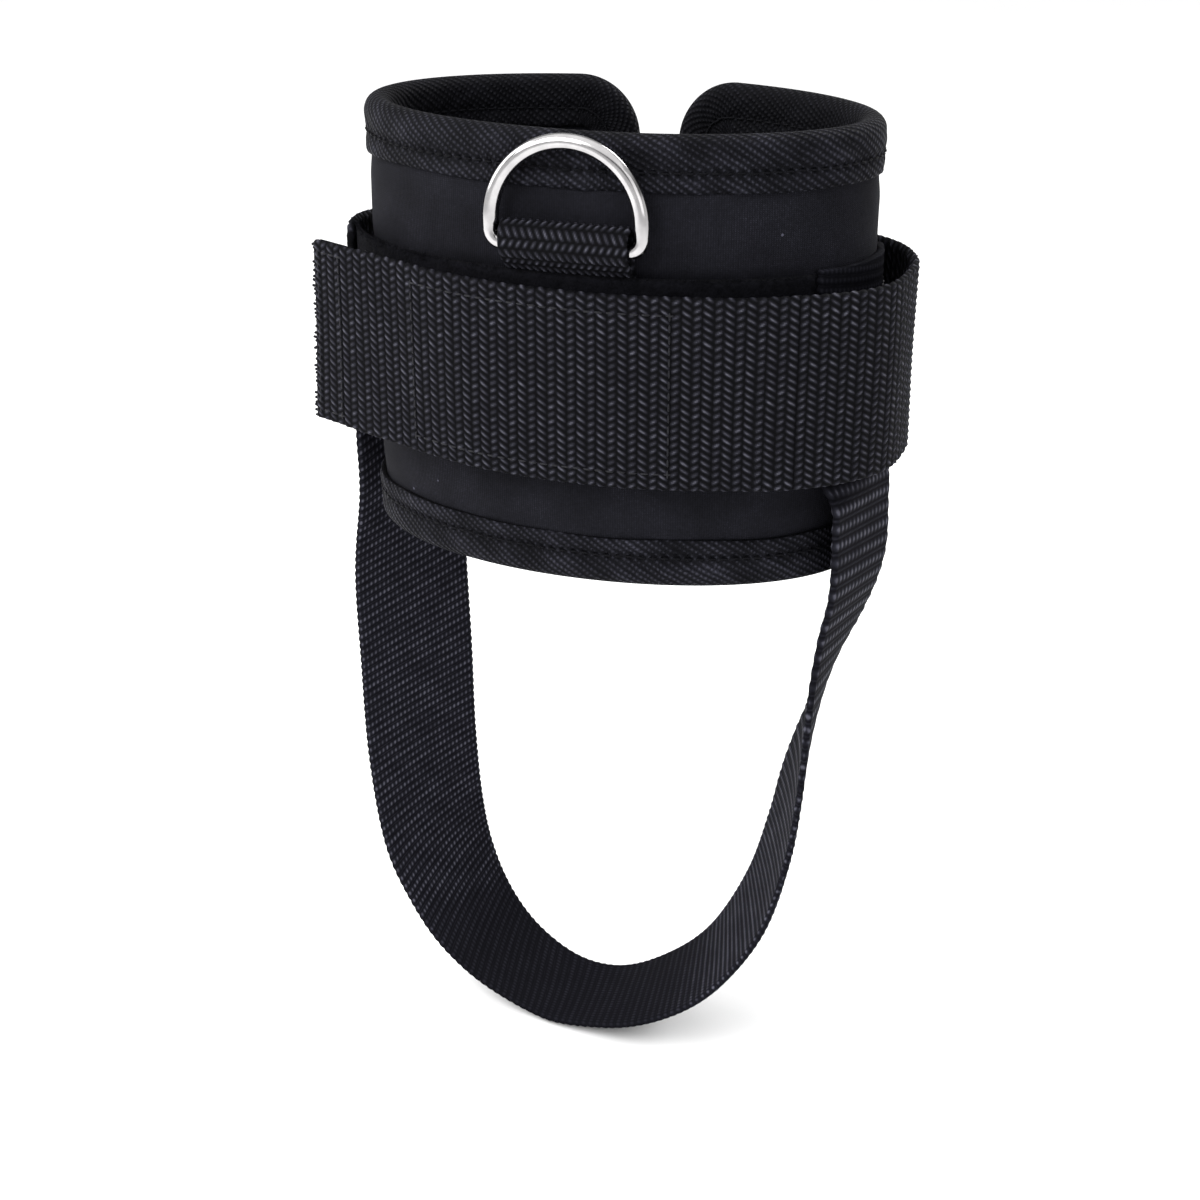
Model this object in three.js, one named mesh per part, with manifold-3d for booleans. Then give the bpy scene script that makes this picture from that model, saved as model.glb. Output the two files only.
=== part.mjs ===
// Ankle cuff for cable exercises: a C-shaped foam pad with a bound edge, a hook-and-loop closure strap that
// wraps it, a steel D-ring in a webbing tab at the front, and a webbing strap that passes under the foot.
// Millimetres. Origin: centre of the ankle opening at mid height. +Z up the leg, -Y the front (D-ring side).
import * as THREE from "three";
import { mergeVertices } from "three/addons/utils/BufferGeometryUtils.js";
import Module from "manifold-3d";

const wasm = await Module();
wasm.setup();

// ---------- driving dimensions ----------
const PAD = { halfWidth: 68, halfDepth: 40, height: 115, gap: 14, cornerRadius: 16 }; // outer face
const LAYER = { skin: 0.6, foam: 3.8, gap: 0.1 };
const BINDING = { thickness: 0.9, leg: 12, clearance: 0.16, stitchInset: 7.5 };
const STRAP = { width: 50, thickness: 1.6, centreZ: -3.2, tailRise: 2 }; // 50 mm closure webbing
const LOOP_PANEL = { width: 52, centreZ: -1, thickness: 1.2, standoff: 3.4, left: -78, right: 59 };
const HOOK_PATCH = { thickness: 0.9, gap: 0.1, margin: 3 };
const FOOT = { width: 35, thickness: 1.6, topZ: 25, pivotZ: -60, pivotGap: 1.1 }; // 35 mm foot webbing
const RING = { innerWidth: 34.5, wire: 4, side: 6, corner: 3, lean: -1.5, barZ: 31.8, barOut: 3.9 };
const TAB = { halfWidth: 16.6, thickness: 1.3, bottomZ: -6, hole: 2.4, slack: 2, backOut: 0.2 }; // slack above the bar
const THREAD = 0.4; // width of a sewn thread line
const STITCH_SPACING = 4; // longest straight run of a thread line

// Plan route (x, y) of the closure strap's middle surface: sewn end on the left side, round the back, round
// the right side, over the front, to the free end on the left.
const STRAP_ROUTE = [
  [-71.3, -13.5], [-73.4, 0], [-70.5, 13], [-60.5, 27.5], [-43.5, 38.5], [-22, 45], [0, 47],
  [25, 45.5], [49, 39], [67.5, 26.5], [76.3, 11], [77.5, -4], [75, -17], [66, -28.5], [50, -38],
  [29, -44.4], [8, -47], [-14, -46.6], [-34, -42.6], [-50, -37], [-63, -32], [-76, -26.5],
];
const FRONT_HINGE = 11; // route point where the front of the strap opens
const TAIL_HINGE = 19; // route point where the free end peels
const RISE_FROM = 16; // route point from which the strap climbs towards its free end

// Foot strap: [x, y, z of the middle, x, y, z of the direction across it, from its front edge to its back edge].
const FOOT_ROUTE = [
  [-68.8, 14.6, -41, 0.6, 0.8, 0], [-68.8, 14.6, -60, 0.6, 0.8, 0],
  [-69.8, 14.8, -87, 0.78, 0.6, 0.2], [-69.2, 14.7, -115, 0.8, 0.55, 0.25],
  [-68.3, 14.5, -147, 0.78, 0.57, 0.25], [-65.3, 14.1, -174, 0.7, 0.68, 0.2],
  [-59.5, 13.2, -191, 0.55, 0.83, 0.08], [-51, 11.6, -205, 0.42, 0.91, 0.05],
  [-39, 9.5, -215.5, 0.27, 0.96, 0.03], [-23, 7, -222, 0.12, 0.99, 0],
  [-9, 4.6, -222, 0.12, 0.99, 0], [7, 2, -216, -0.12, 0.99, 0],
  [22, -0.4, -205, -0.22, 0.97, 0], [34, -2.2, -191, -0.28, 0.96, 0],
  [44, -3.9, -172, -0.34, 0.94, 0], [50, -4.9, -150, -0.36, 0.93, -0.06],
  [54.5, -5.6, -128, -0.32, 0.93, -0.15], [60, -6.6, -100, -0.12, 0.96, -0.22],
  [66, -7.7, -77, 0.12, 0.96, -0.15], [69.8, -8.5, -60, 0.22, 0.975, 0],
  [69.8, -8.5, -41, 0.22, 0.975, 0],
];
const FOOT_SEWN_LEFT = -102.5; // place of each sewn end along the pad, from its front centre
const FOOT_SEWN_RIGHT = 79;

// ---------- the pad's curved sheet ----------
const padThickness = 2 * LAYER.skin + LAYER.foam + 2 * LAYER.gap;

function ellipsePoint(t) {
  return new THREE.Vector2(PAD.halfWidth * Math.sin(t), -PAD.halfDepth * Math.cos(t));
}

// Angle on the ellipse at each millimetre of arc from the front centre, by small steps.
const ELLIPSE_STEPS = 4000;
const arcLengths = [0];
for (let i = 1; i <= ELLIPSE_STEPS; i++) {
  const a = ellipsePoint((Math.PI * (i - 1)) / ELLIPSE_STEPS);
  const b = ellipsePoint((Math.PI * i) / ELLIPSE_STEPS);
  arcLengths.push(arcLengths[i - 1] + a.distanceTo(b));
}
const halfPerimeter = arcLengths[ELLIPSE_STEPS];
const padHalfLength = halfPerimeter - PAD.gap / 2;

function angleAt(s) {
  const wanted = Math.abs(s);
  let low = 0;
  let high = ELLIPSE_STEPS;
  while (high - low > 1) {
    const middle = (low + high) >> 1;
    if (arcLengths[middle] < wanted) low = middle;
    else high = middle;
  }
  const share = (wanted - arcLengths[low]) / (arcLengths[high] - arcLengths[low]);
  return (Math.sign(s) * Math.PI * (low + share)) / ELLIPSE_STEPS;
}

function padNormal(s) {
  const t = angleAt(s);
  return new THREE.Vector3(Math.sin(t) / PAD.halfWidth, -Math.cos(t) / PAD.halfDepth, 0).normalize();
}

// A point s along the pad from its front centre (+ towards +X), at height z, d out from its outer face.
function padPoint(s, z, d) {
  const p = ellipsePoint(angleAt(s));
  return new THREE.Vector3(p.x, p.y, z).addScaledVector(padNormal(s), d);
}

// ---------- solids from sections ----------
function capTriangles(section) {
  const normal = new THREE.Vector3();
  section.forEach((p, i) => normal.add(new THREE.Vector3().crossVectors(p, section[(i + 1) % section.length])));
  normal.normalize();
  const side = Math.abs(normal.z) < 0.9 ? new THREE.Vector3(0, 0, 1) : new THREE.Vector3(1, 0, 0);
  const u = new THREE.Vector3().crossVectors(side, normal).normalize();
  const v = new THREE.Vector3().crossVectors(normal, u);
  const outline = section.map((p) => new THREE.Vector2(p.dot(u), p.dot(v)));
  return THREE.ShapeUtils.triangulateShape(outline, []);
}

function signedVolume(points, faces) {
  const cross = new THREE.Vector3();
  return faces.reduce(
    (sum, [a, b, c]) => sum + points[a].dot(cross.crossVectors(points[b], points[c])), 0) / 6;
}

// Joins sections of equal point count into one closed solid; a ring closes on itself and has no ends.
function loft(sections, ring = false) {
  const n = sections[0].length;
  const points = sections.flat();
  let faces = [];
  const spans = ring ? sections.length : sections.length - 1;
  for (let i = 0; i < spans; i++) {
    const a = i * n;
    const b = ((i + 1) % sections.length) * n;
    for (let j = 0; j < n; j++) {
      const k = (j + 1) % n;
      faces.push([a + j, a + k, b + k], [a + j, b + k, b + j]);
    }
  }
  if (!ring) {
    const last = (sections.length - 1) * n;
    for (const [a, b, c] of capTriangles(sections[0])) faces.push([c, b, a]);
    for (const [a, b, c] of capTriangles(sections.at(-1))) faces.push([last + a, last + b, last + c]);
  }
  if (signedVolume(points, faces) < 0) faces = faces.map(([a, b, c]) => [c, b, a]);
  const geometry = new THREE.BufferGeometry().setFromPoints(points);
  geometry.setIndex(faces.flat());
  geometry.computeVertexNormals();
  return geometry;
}

function toSolid(geometry) {
  const bare = geometry.clone();
  bare.deleteAttribute("normal");
  bare.deleteAttribute("uv");
  const merged = mergeVertices(bare, 1e-4);
  const vertProperties = new Float32Array(merged.attributes.position.array);
  const triVerts = new Uint32Array(merged.index.array);
  return new wasm.Manifold(new wasm.Mesh({ numProp: 3, vertProperties, triVerts }));
}

function toGeometry(solid) {
  const mesh = solid.getMesh();
  const geometry = new THREE.BufferGeometry();
  geometry.setAttribute("position", new THREE.BufferAttribute(new Float32Array(mesh.vertProperties), 3));
  geometry.setIndex(new THREE.BufferAttribute(new Uint32Array(mesh.triVerts), 1));
  geometry.computeVertexNormals();
  return geometry;
}

const smooth = (x) => {
  const t = Math.min(1, Math.max(0, x));
  return t * t * (3 - 2 * t);
};
const steps = (from, to, count) => Array.from({ length: count + 1 }, (_, i) => from + ((to - from) * i) / count);

// ---------- pad layers ----------
const CORNER_STEPS = 6;
const PAD_STEPS = 34;

// Stations along the pad, closer together round its corners.
function padStations() {
  const straight = padHalfLength - PAD.cornerRadius;
  const corner = steps(0, Math.PI / 2, CORNER_STEPS).slice(1);
  const right = corner.map((a) => straight + PAD.cornerRadius * Math.sin(a));
  return [...right.map((s) => -s).reverse(), ...steps(-straight, straight, PAD_STEPS), ...right];
}

function padHalfHeight(s) {
  const past = Math.max(0, Math.abs(s) - (padHalfLength - PAD.cornerRadius));
  const drop = PAD.cornerRadius - Math.sqrt(Math.max(0, PAD.cornerRadius ** 2 - past ** 2));
  return PAD.height / 2 - drop;
}

function padLayer(outer, inner) {
  return loft(padStations().map((s) => {
    const h = padHalfHeight(s);
    return [padPoint(s, -h, outer), padPoint(s, h, outer), padPoint(s, h, inner), padPoint(s, -h, inner)];
  }));
}

// ---------- edge binding ----------
// Walks the pad's outline and gives each point with the direction in from the edge, both as (s, z).
function padOutline() {
  const h = PAD.height / 2;
  const r = PAD.cornerRadius;
  const straight = padHalfLength - r;
  const outline = [];
  const corner = (cs, cz, from) => {
    for (const a of steps(from, from + Math.PI / 2, 7).slice(1, -1)) {
      const out = new THREE.Vector2(Math.cos(a), Math.sin(a));
      outline.push({ s: cs + r * out.x, z: cz + r * out.y, in: out.negate() });
    }
  };
  for (const s of steps(-straight, straight, PAD_STEPS)) outline.push({ s, z: -h, in: new THREE.Vector2(0, 1) });
  corner(straight, r - h, -Math.PI / 2);
  for (const z of steps(r - h, h - r, 4)) outline.push({ s: padHalfLength, z, in: new THREE.Vector2(-1, 0) });
  corner(straight, h - r, 0);
  for (const s of steps(straight, -straight, PAD_STEPS)) outline.push({ s, z: h, in: new THREE.Vector2(0, -1) });
  corner(-straight, h - r, Math.PI / 2);
  for (const z of steps(h - r, r - h, 4)) outline.push({ s: -padHalfLength, z, in: new THREE.Vector2(1, 0) });
  corner(-straight, r - h, Math.PI);
  return outline;
}

// A ring round the pad's edge whose section is given as [inset from the edge, distance out] pairs.
function edgeRing(section) {
  return loft(padOutline().map((p) =>
    section.map(([inset, d]) => padPoint(p.s + inset * p.in.x, p.z + inset * p.in.y, d))), true);
}

function edgeBinding() {
  const c = BINDING.clearance;
  const t = BINDING.thickness;
  const back = -padThickness;
  const down = [BINDING.leg, 6];
  const leg = (insets, d) => insets.map((inset) => [inset, d]);
  return edgeRing([
    ...leg(down, c + t), [1.2, c + t], [-0.5 * t, c + 0.5 * t], [-c - t, c - 0.8],
    [-c - t, back + 0.8 - c], [-0.5 * t, back - c - 0.5 * t], [1.2, back - c - t],
    [6, back - c - t], [BINDING.leg, back - c - t], ...leg(down, back - c), [-c, back - c], [-c, c], [6, c],
  ]);
}

function edgeStitch(d) {
  const half = THREAD / 2;
  const inset = BINDING.stitchInset;
  return edgeRing([[inset - half, d], [inset + half, d], [inset + half, d + THREAD], [inset - half, d + THREAD]]);
}

// ---------- closure strap ----------
const strapCurve = new THREE.CatmullRomCurve3(
  STRAP_ROUTE.map(([x, y]) => new THREE.Vector3(x, y, 0)), false, "catmullrom", 0.5);
const lastRoutePoint = STRAP_ROUTE.length - 1;
const STRAP_SPAN = strapCurve.getLength() / lastRoutePoint; // millimetres from one route point to the next

// A point at place p of the strap's route, z above the strap's own centre line, d out from its middle surface.
function strapPoint(p, z, d) {
  const t = p / lastRoutePoint;
  const tangent = strapCurve.getTangent(t);
  const outward = new THREE.Vector3(-tangent.y, tangent.x, 0).normalize();
  const rise = STRAP.tailRise * smooth((p - RISE_FROM) / (lastRoutePoint - RISE_FROM));
  return strapCurve.getPoint(t).addScaledVector(outward, d).setZ(STRAP.centreZ + rise + z);
}

function strapSheet(from, to, halfWidth, inner, outer) {
  const count = Math.max(2, Math.round((to - from) * 3));
  return loft(steps(from, to, count).map((p) => [
    strapPoint(p, -halfWidth, outer), strapPoint(p, halfWidth, outer),
    strapPoint(p, halfWidth, inner), strapPoint(p, -halfWidth, inner),
  ]));
}

// A thread line sewn round a rectangle, on a surface given by place(u, z, d); one u is unit millimetres long.
function sewnRectangle(place, [u0, u1], [z0, z1], d, unit = 1) {
  const between = steps(u0, u1, Math.ceil(((u1 - u0) * unit) / STITCH_SPACING)).slice(1, -1);
  const outline = [
    [u0, z0, 1, 1], ...between.map((u) => [u, z0, 0, 1]), [u1, z0, -1, 1],
    [u1, z1, -1, -1], ...between.reverse().map((u) => [u, z1, 0, -1]), [u0, z1, 1, -1],
  ];
  return loft(outline.map(([u, z, du, dz]) => {
    const ui = u + (du * THREAD) / unit;
    const zi = z + dz * THREAD;
    return [place(u, z, d), place(u, z, d + THREAD), place(ui, zi, d + THREAD), place(ui, zi, d)];
  }), true);
}

// ---------- D-ring ----------
const ringPivot = new THREE.Vector3(0, -PAD.halfDepth - RING.barOut, RING.barZ);

// Closed centre line of the ring's wire in its own plane: x across, y up from the bar.
function ringOutline() {
  const half = RING.innerWidth / 2 + RING.wire / 2;
  const c = RING.corner;
  const arc = (cx, cy, r, from, to, count) =>
    steps(from, to, count).map((a) => [cx + r * Math.cos(a), cy + r * Math.sin(a)]);
  return [
    ...steps(-half + c, half - c, 4),
  ].map((x) => [x, 0]).concat(
    arc(half - c, c, c, -Math.PI / 2, 0, 3).slice(1),
    arc(0, RING.side, half, 0, Math.PI, 23),
    arc(-half + c, c, c, Math.PI, 1.5 * Math.PI, 3).slice(0, -1),
  );
}

function dRing() {
  const sides = 12;
  const outline = ringOutline();
  const lean = THREE.MathUtils.degToRad(RING.lean);
  const up = new THREE.Vector3(0, -Math.sin(lean), Math.cos(lean));
  const forward = new THREE.Vector3(0, -Math.cos(lean), -Math.sin(lean));
  const right = new THREE.Vector3(1, 0, 0);
  return loft(outline.map(([x, y], i) => {
    const before = outline[(i + outline.length - 1) % outline.length];
    const after = outline[(i + 1) % outline.length];
    const tangent = new THREE.Vector2(after[0] - before[0], after[1] - before[1]).normalize();
    const out = right.clone().multiplyScalar(tangent.y).addScaledVector(up, -tangent.x);
    const centre = ringPivot.clone().addScaledVector(right, x).addScaledVector(up, y);
    return steps(0, sides - 1, sides - 1).map((k) => {
      const a = ((k + 0.5) * 2 * Math.PI) / sides;
      return centre.clone()
        .addScaledVector(out, (Math.cos(a) * RING.wire) / 2)
        .addScaledVector(forward, (Math.sin(a) * RING.wire) / 2);
    });
  }), true);
}

// Webbing folded over the ring's bar, with both legs running down the pad's front.
function ringTab() {
  const { thickness: t, hole, backOut, bottomZ } = TAB;
  const barZ = RING.barZ;
  const barOut = RING.barOut;
  const foldZ = barZ + TAB.slack;
  const arc = (r, from, to) =>
    steps(from, to, 8).map((a) => [barOut + r * Math.cos(a), foldZ + r * Math.sin(a)]);
  const outer = barOut - backOut;
  const legOut = backOut + t;
  const section = [
    [backOut, bottomZ], ...arc(outer, Math.PI, 0),
    [barOut + outer - 0.4, barZ - 1.5], [legOut + 0.25 + t, barZ - 6.6], [legOut + 0.25 + t, bottomZ],
    [legOut + 0.25, bottomZ], [legOut + 0.25, barZ - 7.2], [barOut + hole - 0.4, barZ - 2],
    ...arc(hole, 0, Math.PI), [legOut, bottomZ],
  ];
  return loft(steps(-TAB.halfWidth, TAB.halfWidth, 8).map((x) => section.map(([d, z]) => {
    const padY = PAD.halfDepth * Math.sqrt(1 - (x / PAD.halfWidth) ** 2);
    const flat = smooth((z - (barZ - 7)) / 6);
    return new THREE.Vector3(x, -(padY * (1 - flat) + PAD.halfDepth * flat) - d, z);
  })));
}

// ---------- foot strap ----------
const footMiddles = new THREE.CatmullRomCurve3(
  FOOT_ROUTE.map((p) => new THREE.Vector3(p[0], p[1], p[2])), false, "catmullrom", 0.5);
const footAcross = new THREE.CatmullRomCurve3(
  FOOT_ROUTE.map((p) => new THREE.Vector3(p[3], p[4], p[5])), false, "catmullrom", 0.5);
const lastFootPoint = FOOT_ROUTE.length - 1;
const FLAT_SPAN = 9; // route span at the bottom that stays flat, for the sole
const flatDirection = footMiddles.getPoint((FLAT_SPAN + 1) / lastFootPoint)
  .sub(footMiddles.getPoint(FLAT_SPAN / lastFootPoint)).normalize();

function footSection(p) {
  const t = p / lastFootPoint;
  const middle = footMiddles.getPoint(t);
  const onFlat = p >= FLAT_SPAN && p <= FLAT_SPAN + 1;
  const tangent = onFlat ? flatDirection : footMiddles.getTangent(t);
  const across = footAcross.getPoint(t);
  across.addScaledVector(tangent, -across.dot(tangent)).normalize();
  const up = new THREE.Vector3().crossVectors(across, tangent).normalize();
  return [[-1, 1], [1, 1], [1, -1], [-1, -1]].map(([a, b]) => middle.clone()
    .addScaledVector(across, (a * FOOT.width) / 2)
    .addScaledVector(up, (b * FOOT.thickness) / 2));
}

// Everything that swings with the foot strap: a round head about each pivot, and all that is below them.
const footPivotLeft = new THREE.Vector3(...FOOT_ROUTE[1].slice(0, 3));
const footPivotRight = new THREE.Vector3(...FOOT_ROUTE[lastFootPoint - 1].slice(0, 3));
const footAxis = footPivotRight.clone().sub(footPivotLeft).normalize();

function footSwingSpace(extra) {
  const length = 220;
  const cylinder = new THREE.CylinderGeometry(FOOT.width / 2 + extra, FOOT.width / 2 + extra, length, 48);
  cylinder.applyQuaternion(new THREE.Quaternion().setFromUnitVectors(new THREE.Vector3(0, 1, 0), footAxis));
  const middle = footPivotLeft.clone().add(footPivotRight).multiplyScalar(0.5);
  cylinder.translate(middle.x, middle.y, middle.z);
  const below = new THREE.BoxGeometry(length, length, length);
  below.translate(0, 0, FOOT.pivotZ - length / 2);
  return toSolid(cylinder).add(toSolid(below));
}

function footLoop() {
  const spans = [];
  for (let i = 0; i < lastFootPoint; i++) {
    const count = i === FLAT_SPAN ? 1 : 3;
    spans.push(...steps(i, i + 1, count).slice(0, -1));
  }
  const strip = loft([...spans, lastFootPoint].map(footSection));
  return toGeometry(toSolid(strip).intersect(footSwingSpace(0)));
}

// The sewn end of the foot strap: curved to the pad where it is sewn, flat where it hangs clear of it.
function footEnd(sewnAt, side, routePoint) {
  const [x, y, , ax, ay] = FOOT_ROUTE[routePoint];
  const across = new THREE.Vector3(ax, ay, 0).normalize();
  const flatNormal = new THREE.Vector3(ay, -ax, 0).normalize().multiplyScalar(side);
  const half = FOOT.thickness / 2;
  const sections = [FOOT.topZ, 0, -24, -27, -30, -33, -36, -41, -50, -62].map((z) => {
    const flat = smooth((-24 - z) / 15);
    const row = (out) => steps(-FOOT.width / 2, FOOT.width / 2, 8).map((w) => {
      const s = sewnAt + side * w;
      const sewn = padPoint(s, z, 0.2 + half + out);
      const hung = new THREE.Vector3(x, y, z).addScaledVector(across, w).addScaledVector(flatNormal, out);
      return sewn.lerp(hung, flat);
    });
    return [...row(half), ...row(-half).reverse()];
  });
  return toGeometry(toSolid(loft(sections)).subtract(footSwingSpace(FOOT.pivotGap)));
}

// ---------- materials ----------
const jersey = new THREE.MeshStandardMaterial({ color: 0x17171b, roughness: 0.85 });
const foam = new THREE.MeshStandardMaterial({ color: 0x1a1a1c, roughness: 0.95 });
const lining = new THREE.MeshStandardMaterial({ color: 0x141417, roughness: 0.9 });
const tape = new THREE.MeshStandardMaterial({ color: 0x131316, roughness: 0.75 });
const webbing = new THREE.MeshStandardMaterial({ color: 0x1b1b1f, roughness: 0.6 });
const pile = new THREE.MeshStandardMaterial({ color: 0x101012, roughness: 1 });
const hooks = new THREE.MeshStandardMaterial({ color: 0x18181a, roughness: 0.5 });
const thread = new THREE.MeshStandardMaterial({ color: 0x222226, roughness: 0.5 });
const steel = new THREE.MeshStandardMaterial({ color: 0xd8dadf, roughness: 0.12, metalness: 1 });

// ---------- assembly ----------
const cuff = new THREE.Group();
const add = (name, geometry, material) => {
  const mesh = new THREE.Mesh(geometry, material);
  mesh.name = name;
  cuff.add(mesh);
};

const skinBack = -LAYER.skin;
const foamBack = skinBack - LAYER.gap - LAYER.foam;
add("outer_face_fabric", padLayer(0, skinBack), jersey);
add("foam_core", padLayer(skinBack - LAYER.gap, foamBack), foam);
add("lining_fabric", padLayer(foamBack - LAYER.gap, -padThickness), lining);
add("edge_binding", edgeBinding(), tape);
add("binding_stitch_outer", edgeStitch(BINDING.clearance + BINDING.thickness + 0.1), thread);
add("binding_stitch_inner", edgeStitch(-padThickness - BINDING.clearance - BINDING.thickness - 0.1 - THREAD), thread);

const panelTop = LOOP_PANEL.centreZ + LOOP_PANEL.width / 2;
const panelBottom = LOOP_PANEL.centreZ - LOOP_PANEL.width / 2;
const panelOut = LOOP_PANEL.standoff + LOOP_PANEL.thickness;
add("loop_panel", loft(steps(LOOP_PANEL.left, LOOP_PANEL.right, 24).map((s) => [
  padPoint(s, panelBottom, panelOut), padPoint(s, panelTop, panelOut),
  padPoint(s, panelTop, LOOP_PANEL.standoff), padPoint(s, panelBottom, LOOP_PANEL.standoff),
])), pile);
add("loop_panel_stitch", sewnRectangle(padPoint, [LOOP_PANEL.left + 14, LOOP_PANEL.right - 3],
  [panelBottom + 2.5, panelTop - 2.5], panelOut + 0.12), thread);

add("d_ring_tab", ringTab(), webbing);
add("d_ring", dRing(), steel);

add("foot_strap_end_left", footEnd(FOOT_SEWN_LEFT, -1, 1), webbing);
add("foot_strap_end_right", footEnd(FOOT_SEWN_RIGHT, 1, lastFootPoint - 1), webbing);
add("foot_strap_loop", footLoop(), webbing);
const footTackOut = 0.2 + FOOT.thickness + 0.1;
add("foot_strap_tack_left", sewnRectangle(padPoint, [FOOT_SEWN_LEFT - 14, FOOT_SEWN_LEFT + 14],
  [-16, 16], footTackOut), thread);
add("foot_strap_tack_right", sewnRectangle(padPoint, [FOOT_SEWN_RIGHT - 14, FOOT_SEWN_RIGHT + 14],
  [-16, 16], footTackOut), thread);

const strapHalf = STRAP.width / 2;
const skin = STRAP.thickness / 2;
const hingeGap = 0.12; // of a route span, left open each side of a hinge line
add("closure_strap_back", strapSheet(0, FRONT_HINGE - hingeGap, strapHalf, -skin, skin), webbing);
add("closure_strap_front",
  strapSheet(FRONT_HINGE + hingeGap, TAIL_HINGE - hingeGap, strapHalf, -skin, skin), webbing);
add("closure_strap_tail", strapSheet(TAIL_HINGE + hingeGap, lastRoutePoint, strapHalf, -skin, skin), webbing);

const hookHalf = strapHalf - HOOK_PATCH.margin;
const hookOut = -skin - HOOK_PATCH.gap;
add("hook_patch", strapSheet(RISE_FROM - 1, TAIL_HINGE - 0.4, hookHalf, hookOut - HOOK_PATCH.thickness, hookOut), hooks);
add("hook_patch_stitch", sewnRectangle(strapPoint, [RISE_FROM - 0.9, TAIL_HINGE - 0.5],
  [-hookHalf + 1.5, hookHalf - 1.5], skin + 0.12, STRAP_SPAN), thread);
add("strap_anchor_stitch", sewnRectangle(strapPoint, [0.15, 0.85],
  [-strapHalf + 4, strapHalf - 4], skin + 0.12, STRAP_SPAN), thread);
add("strap_end_hem", strapSheet(lastRoutePoint - 0.75, lastRoutePoint, strapHalf - 0.5,
  hookOut - STRAP.thickness, hookOut), webbing);
add("strap_end_stitch", sewnRectangle(strapPoint, [lastRoutePoint - 0.7, lastRoutePoint - 0.12],
  [-strapHalf + 3, strapHalf - 3], skin + 0.12, STRAP_SPAN), thread);

export default cuff;
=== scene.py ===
"""Ankle cuff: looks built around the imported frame. Lengths are in millimetres until a mesh is made."""
from math import cos, dist, pi, radians, sin

import bpy
import numpy as np
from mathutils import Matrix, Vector


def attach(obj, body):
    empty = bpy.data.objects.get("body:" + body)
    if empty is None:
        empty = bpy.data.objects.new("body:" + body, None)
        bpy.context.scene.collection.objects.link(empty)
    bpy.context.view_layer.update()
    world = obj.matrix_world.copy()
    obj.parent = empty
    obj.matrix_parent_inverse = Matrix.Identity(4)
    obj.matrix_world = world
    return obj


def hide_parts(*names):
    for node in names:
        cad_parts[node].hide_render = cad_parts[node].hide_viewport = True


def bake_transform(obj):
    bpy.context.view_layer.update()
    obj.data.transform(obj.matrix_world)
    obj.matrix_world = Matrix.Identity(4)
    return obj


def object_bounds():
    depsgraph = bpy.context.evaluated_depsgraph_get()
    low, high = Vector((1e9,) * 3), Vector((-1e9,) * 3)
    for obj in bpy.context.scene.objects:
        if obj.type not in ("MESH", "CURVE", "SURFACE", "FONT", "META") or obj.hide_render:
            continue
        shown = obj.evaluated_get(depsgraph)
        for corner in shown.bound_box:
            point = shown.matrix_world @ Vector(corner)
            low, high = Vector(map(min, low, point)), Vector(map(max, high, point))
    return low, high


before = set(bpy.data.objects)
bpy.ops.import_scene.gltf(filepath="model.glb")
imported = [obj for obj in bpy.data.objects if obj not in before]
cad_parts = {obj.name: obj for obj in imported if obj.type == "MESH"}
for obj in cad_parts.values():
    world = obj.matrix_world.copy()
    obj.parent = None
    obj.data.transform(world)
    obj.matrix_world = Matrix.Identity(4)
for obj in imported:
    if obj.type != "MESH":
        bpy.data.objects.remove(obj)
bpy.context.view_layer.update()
MM = 0.001
TURN = 2 * pi

# ---------- dimensions, as in the CAD ----------
# pad: half axes of its oval outer face, height, opening at the back, corner radius and thickness
PAD_A, PAD_B, PAD_HEIGHT, PAD_GAP, PAD_CORNER, PAD_THICK = 68.0, 40.0, 115.0, 14.0, 16.0, 5.2
# binding: width on each face, thickness of its tape, and distance of its stitches from the pad's edge
BIND_LEG, BIND_THICK, BIND_SEAM = 12.4, 1.0, 7.5
# closure strap: width, thickness, height of its middle line, and how much higher its loose end is
STRAP_WIDTH, STRAP_THICK, STRAP_Z, STRAP_RISE = 50.0, 1.6, -3.2, 2.0
# foot strap: width, thickness, height of its two ends, and where along the pad they are sewn
FOOT_WIDTH, FOOT_THICK, FOOT_TOP_Z = 35.0, 1.6, 25.0
FOOT_SEWN_LEFT, FOOT_SEWN_RIGHT = -102.5, 79.0
# D-ring: inner width, wire diameter, straight sides, radius of its lower corners, lean in degrees,
# and its bar's height and distance from the pad
RING_INNER, RING_WIRE, RING_SIDE, RING_CORNER = 34.5, 4.0, 6.0, 3.0
RING_LEAN, RING_Z, RING_OUT = -1.5, 31.8, 3.9
# D-ring tab: half width, thickness, lower end, and how far the fold's centre is above the bar
TAB_HALF, TAB_THICK, TAB_BOTTOM, TAB_SLACK = 16.6, 1.3, -6.0, 2.0
# loop panel: height of its middle, its own height, thickness, distance from the pad, and its two ends
PANEL_Z, PANEL_HEIGHT, PANEL_THICK, PANEL_OUT = -1.0, 52.0, 1.2, 3.4
PANEL_LEFT, PANEL_RIGHT = -78.0, 59.0

# middle line (x, y) of the closure strap, from its sewn end on the left round the back and the front
STRAP_ROUTE = np.array([
    (-71.3, -13.5), (-73.4, 0), (-70.5, 13), (-60.5, 27.5), (-43.5, 38.5), (-22, 45), (0, 47),
    (25, 45.5), (49, 39), (67.5, 26.5), (76.3, 11), (77.5, -4), (75, -17), (66, -28.5), (50, -38),
    (29, -44.4), (8, -47), (-14, -46.6), (-34, -42.6), (-50, -37), (-63, -32), (-76, -26.5),
])
RISE_FROM = 16  # route point from which the strap rises to its loose end
TAIL_HINGE = 19  # route point where the loose end bends

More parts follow.
